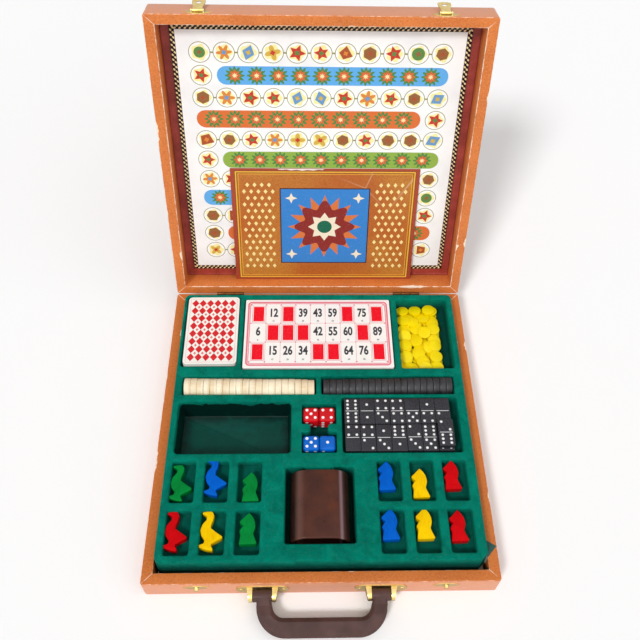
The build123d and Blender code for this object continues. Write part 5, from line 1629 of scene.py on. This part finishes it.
class GAMES_OT_stage(bpy.types.Operator):
    """White floor, lamps, world and camera"""
    bl_idname = "games_case.stage"
    bl_label = "Stage"

    def lamp(self, name, direction, strength, angle):
        """Even light from one side, softened by its angle in degrees."""
        clear_selection()
        bpy.ops.object.light_add(type="SUN", location=direction)
        lamp = bpy.context.object
        lamp.name = name
        lamp.data.energy = strength
        lamp.data.angle = math.radians(angle)
        lamp.rotation_euler = (-Vector(direction)).to_track_quat("-Z", "Y").to_euler()

    def execute(self, context):
        sizes = context.scene.stage_sizes
        clear_selection()
        bpy.ops.mesh.primitive_plane_add(size=6.0, location=(0, 0, 0))
        floor = bpy.context.object
        floor.name = "floor"
        material, add, place = new_material("matt_white_paper_floor", roughness=0.9)
        tooth = add("TexNoise", Vector=place, Scale=900.0)
        shade = add("Mix", tooth, linear("#FFFFFF"), linear("#FDFDFD"), data_type="RGBA")
        paint(floor, coat(material, base_color=shade))
        self.lamp("key_lamp", (-0.5, -0.78, 1.0), sizes.key_strength, 12.0)
        self.lamp("fill_lamp", (0.6, -0.65, 1.1), sizes.fill_strength, 80.0)
        world = bpy.data.worlds.new("white_room")
        context.scene.world = world
        world.use_nodes = True
        tree = world.node_tree
        add = partial(add_node, tree)
        ray = add("LightPath", out="all")
        seen = add("Math", ray["Is Camera Ray"], ray["Is Glossy Ray"], operation="MAXIMUM")
        seen = add("Math", seen, ray["Is Transmission Ray"], operation="MAXIMUM")
        strength = add("MapRange", seen, 0.0, 1.0, sizes.room_light, 1.0)
        background = tree.nodes["Background"]
        background.inputs["Color"].default_value = (1, 1, 1, 1)
        tree.links.new(strength, background.inputs["Strength"])
        clear_selection()
        bpy.ops.object.camera_add(location=(-0.01526, -0.37514, 0.73296),
                                  rotation=(0.681, -0.025, -0.019))
        camera = bpy.context.object
        camera.data.lens = sizes.camera_lens
        camera.data.sensor_width = 36.0
        camera.data.shift_x = -0.0148
        camera.data.shift_y = -0.0796
        context.scene.camera = camera
        context.scene.view_settings.view_transform = "Standard"
        return {"FINISHED"}


# ---------------------------------------------------------------- panel and registration

class GAMES_PT_case(bpy.types.Panel):
    """Buttons for each group of pieces, with its sizes"""
    bl_idname = "GAMES_PT_case"
    bl_label = "Games Case"
    bl_space_type = "VIEW_3D"
    bl_region_type = "UI"
    bl_category = "Games Case"

    def draw(self, context):
        for group in ("case_sizes", "tray_sizes", "piece_sizes", "stage_sizes"):
            settings = getattr(context.scene, group)
            box = self.layout.box()
            for key in settings.bl_rna.properties.keys():
                if key not in ("rna_type", "name"):
                    box.prop(settings, key)
        for operator in OPERATORS:
            self.layout.operator(operator.bl_idname)


GROUPS = {"case_sizes": CaseSizes, "tray_sizes": TraySizes, "piece_sizes": PieceSizes,
          "stage_sizes": StageSizes}
OPERATORS = [GAMES_OT_base_case, GAMES_OT_lid_case, GAMES_OT_printed_board, GAMES_OT_leaflet,
             GAMES_OT_tray, GAMES_OT_cards, GAMES_OT_draughts, GAMES_OT_dice, GAMES_OT_dominoes,
             GAMES_OT_counters, GAMES_OT_pawns, GAMES_OT_dice_cup, GAMES_OT_fittings, GAMES_OT_stage]


def register():
    for name, group in GROUPS.items():
        bpy.utils.register_class(group)
        setattr(bpy.types.Scene, name, PointerProperty(type=group))
    for operator in OPERATORS:
        bpy.utils.register_class(operator)
    bpy.utils.register_class(GAMES_PT_case)


def unregister():
    bpy.utils.unregister_class(GAMES_PT_case)
    for operator in reversed(OPERATORS):
        bpy.utils.unregister_class(operator)
    for name, group in GROUPS.items():
        delattr(bpy.types.Scene, name)
        bpy.utils.unregister_class(group)


def main():
    register()
    for operator in OPERATORS:
        family, name = operator.bl_idname.split(".")
        getattr(getattr(bpy.ops, family), name)()


if __name__ == "__main__":
    main()
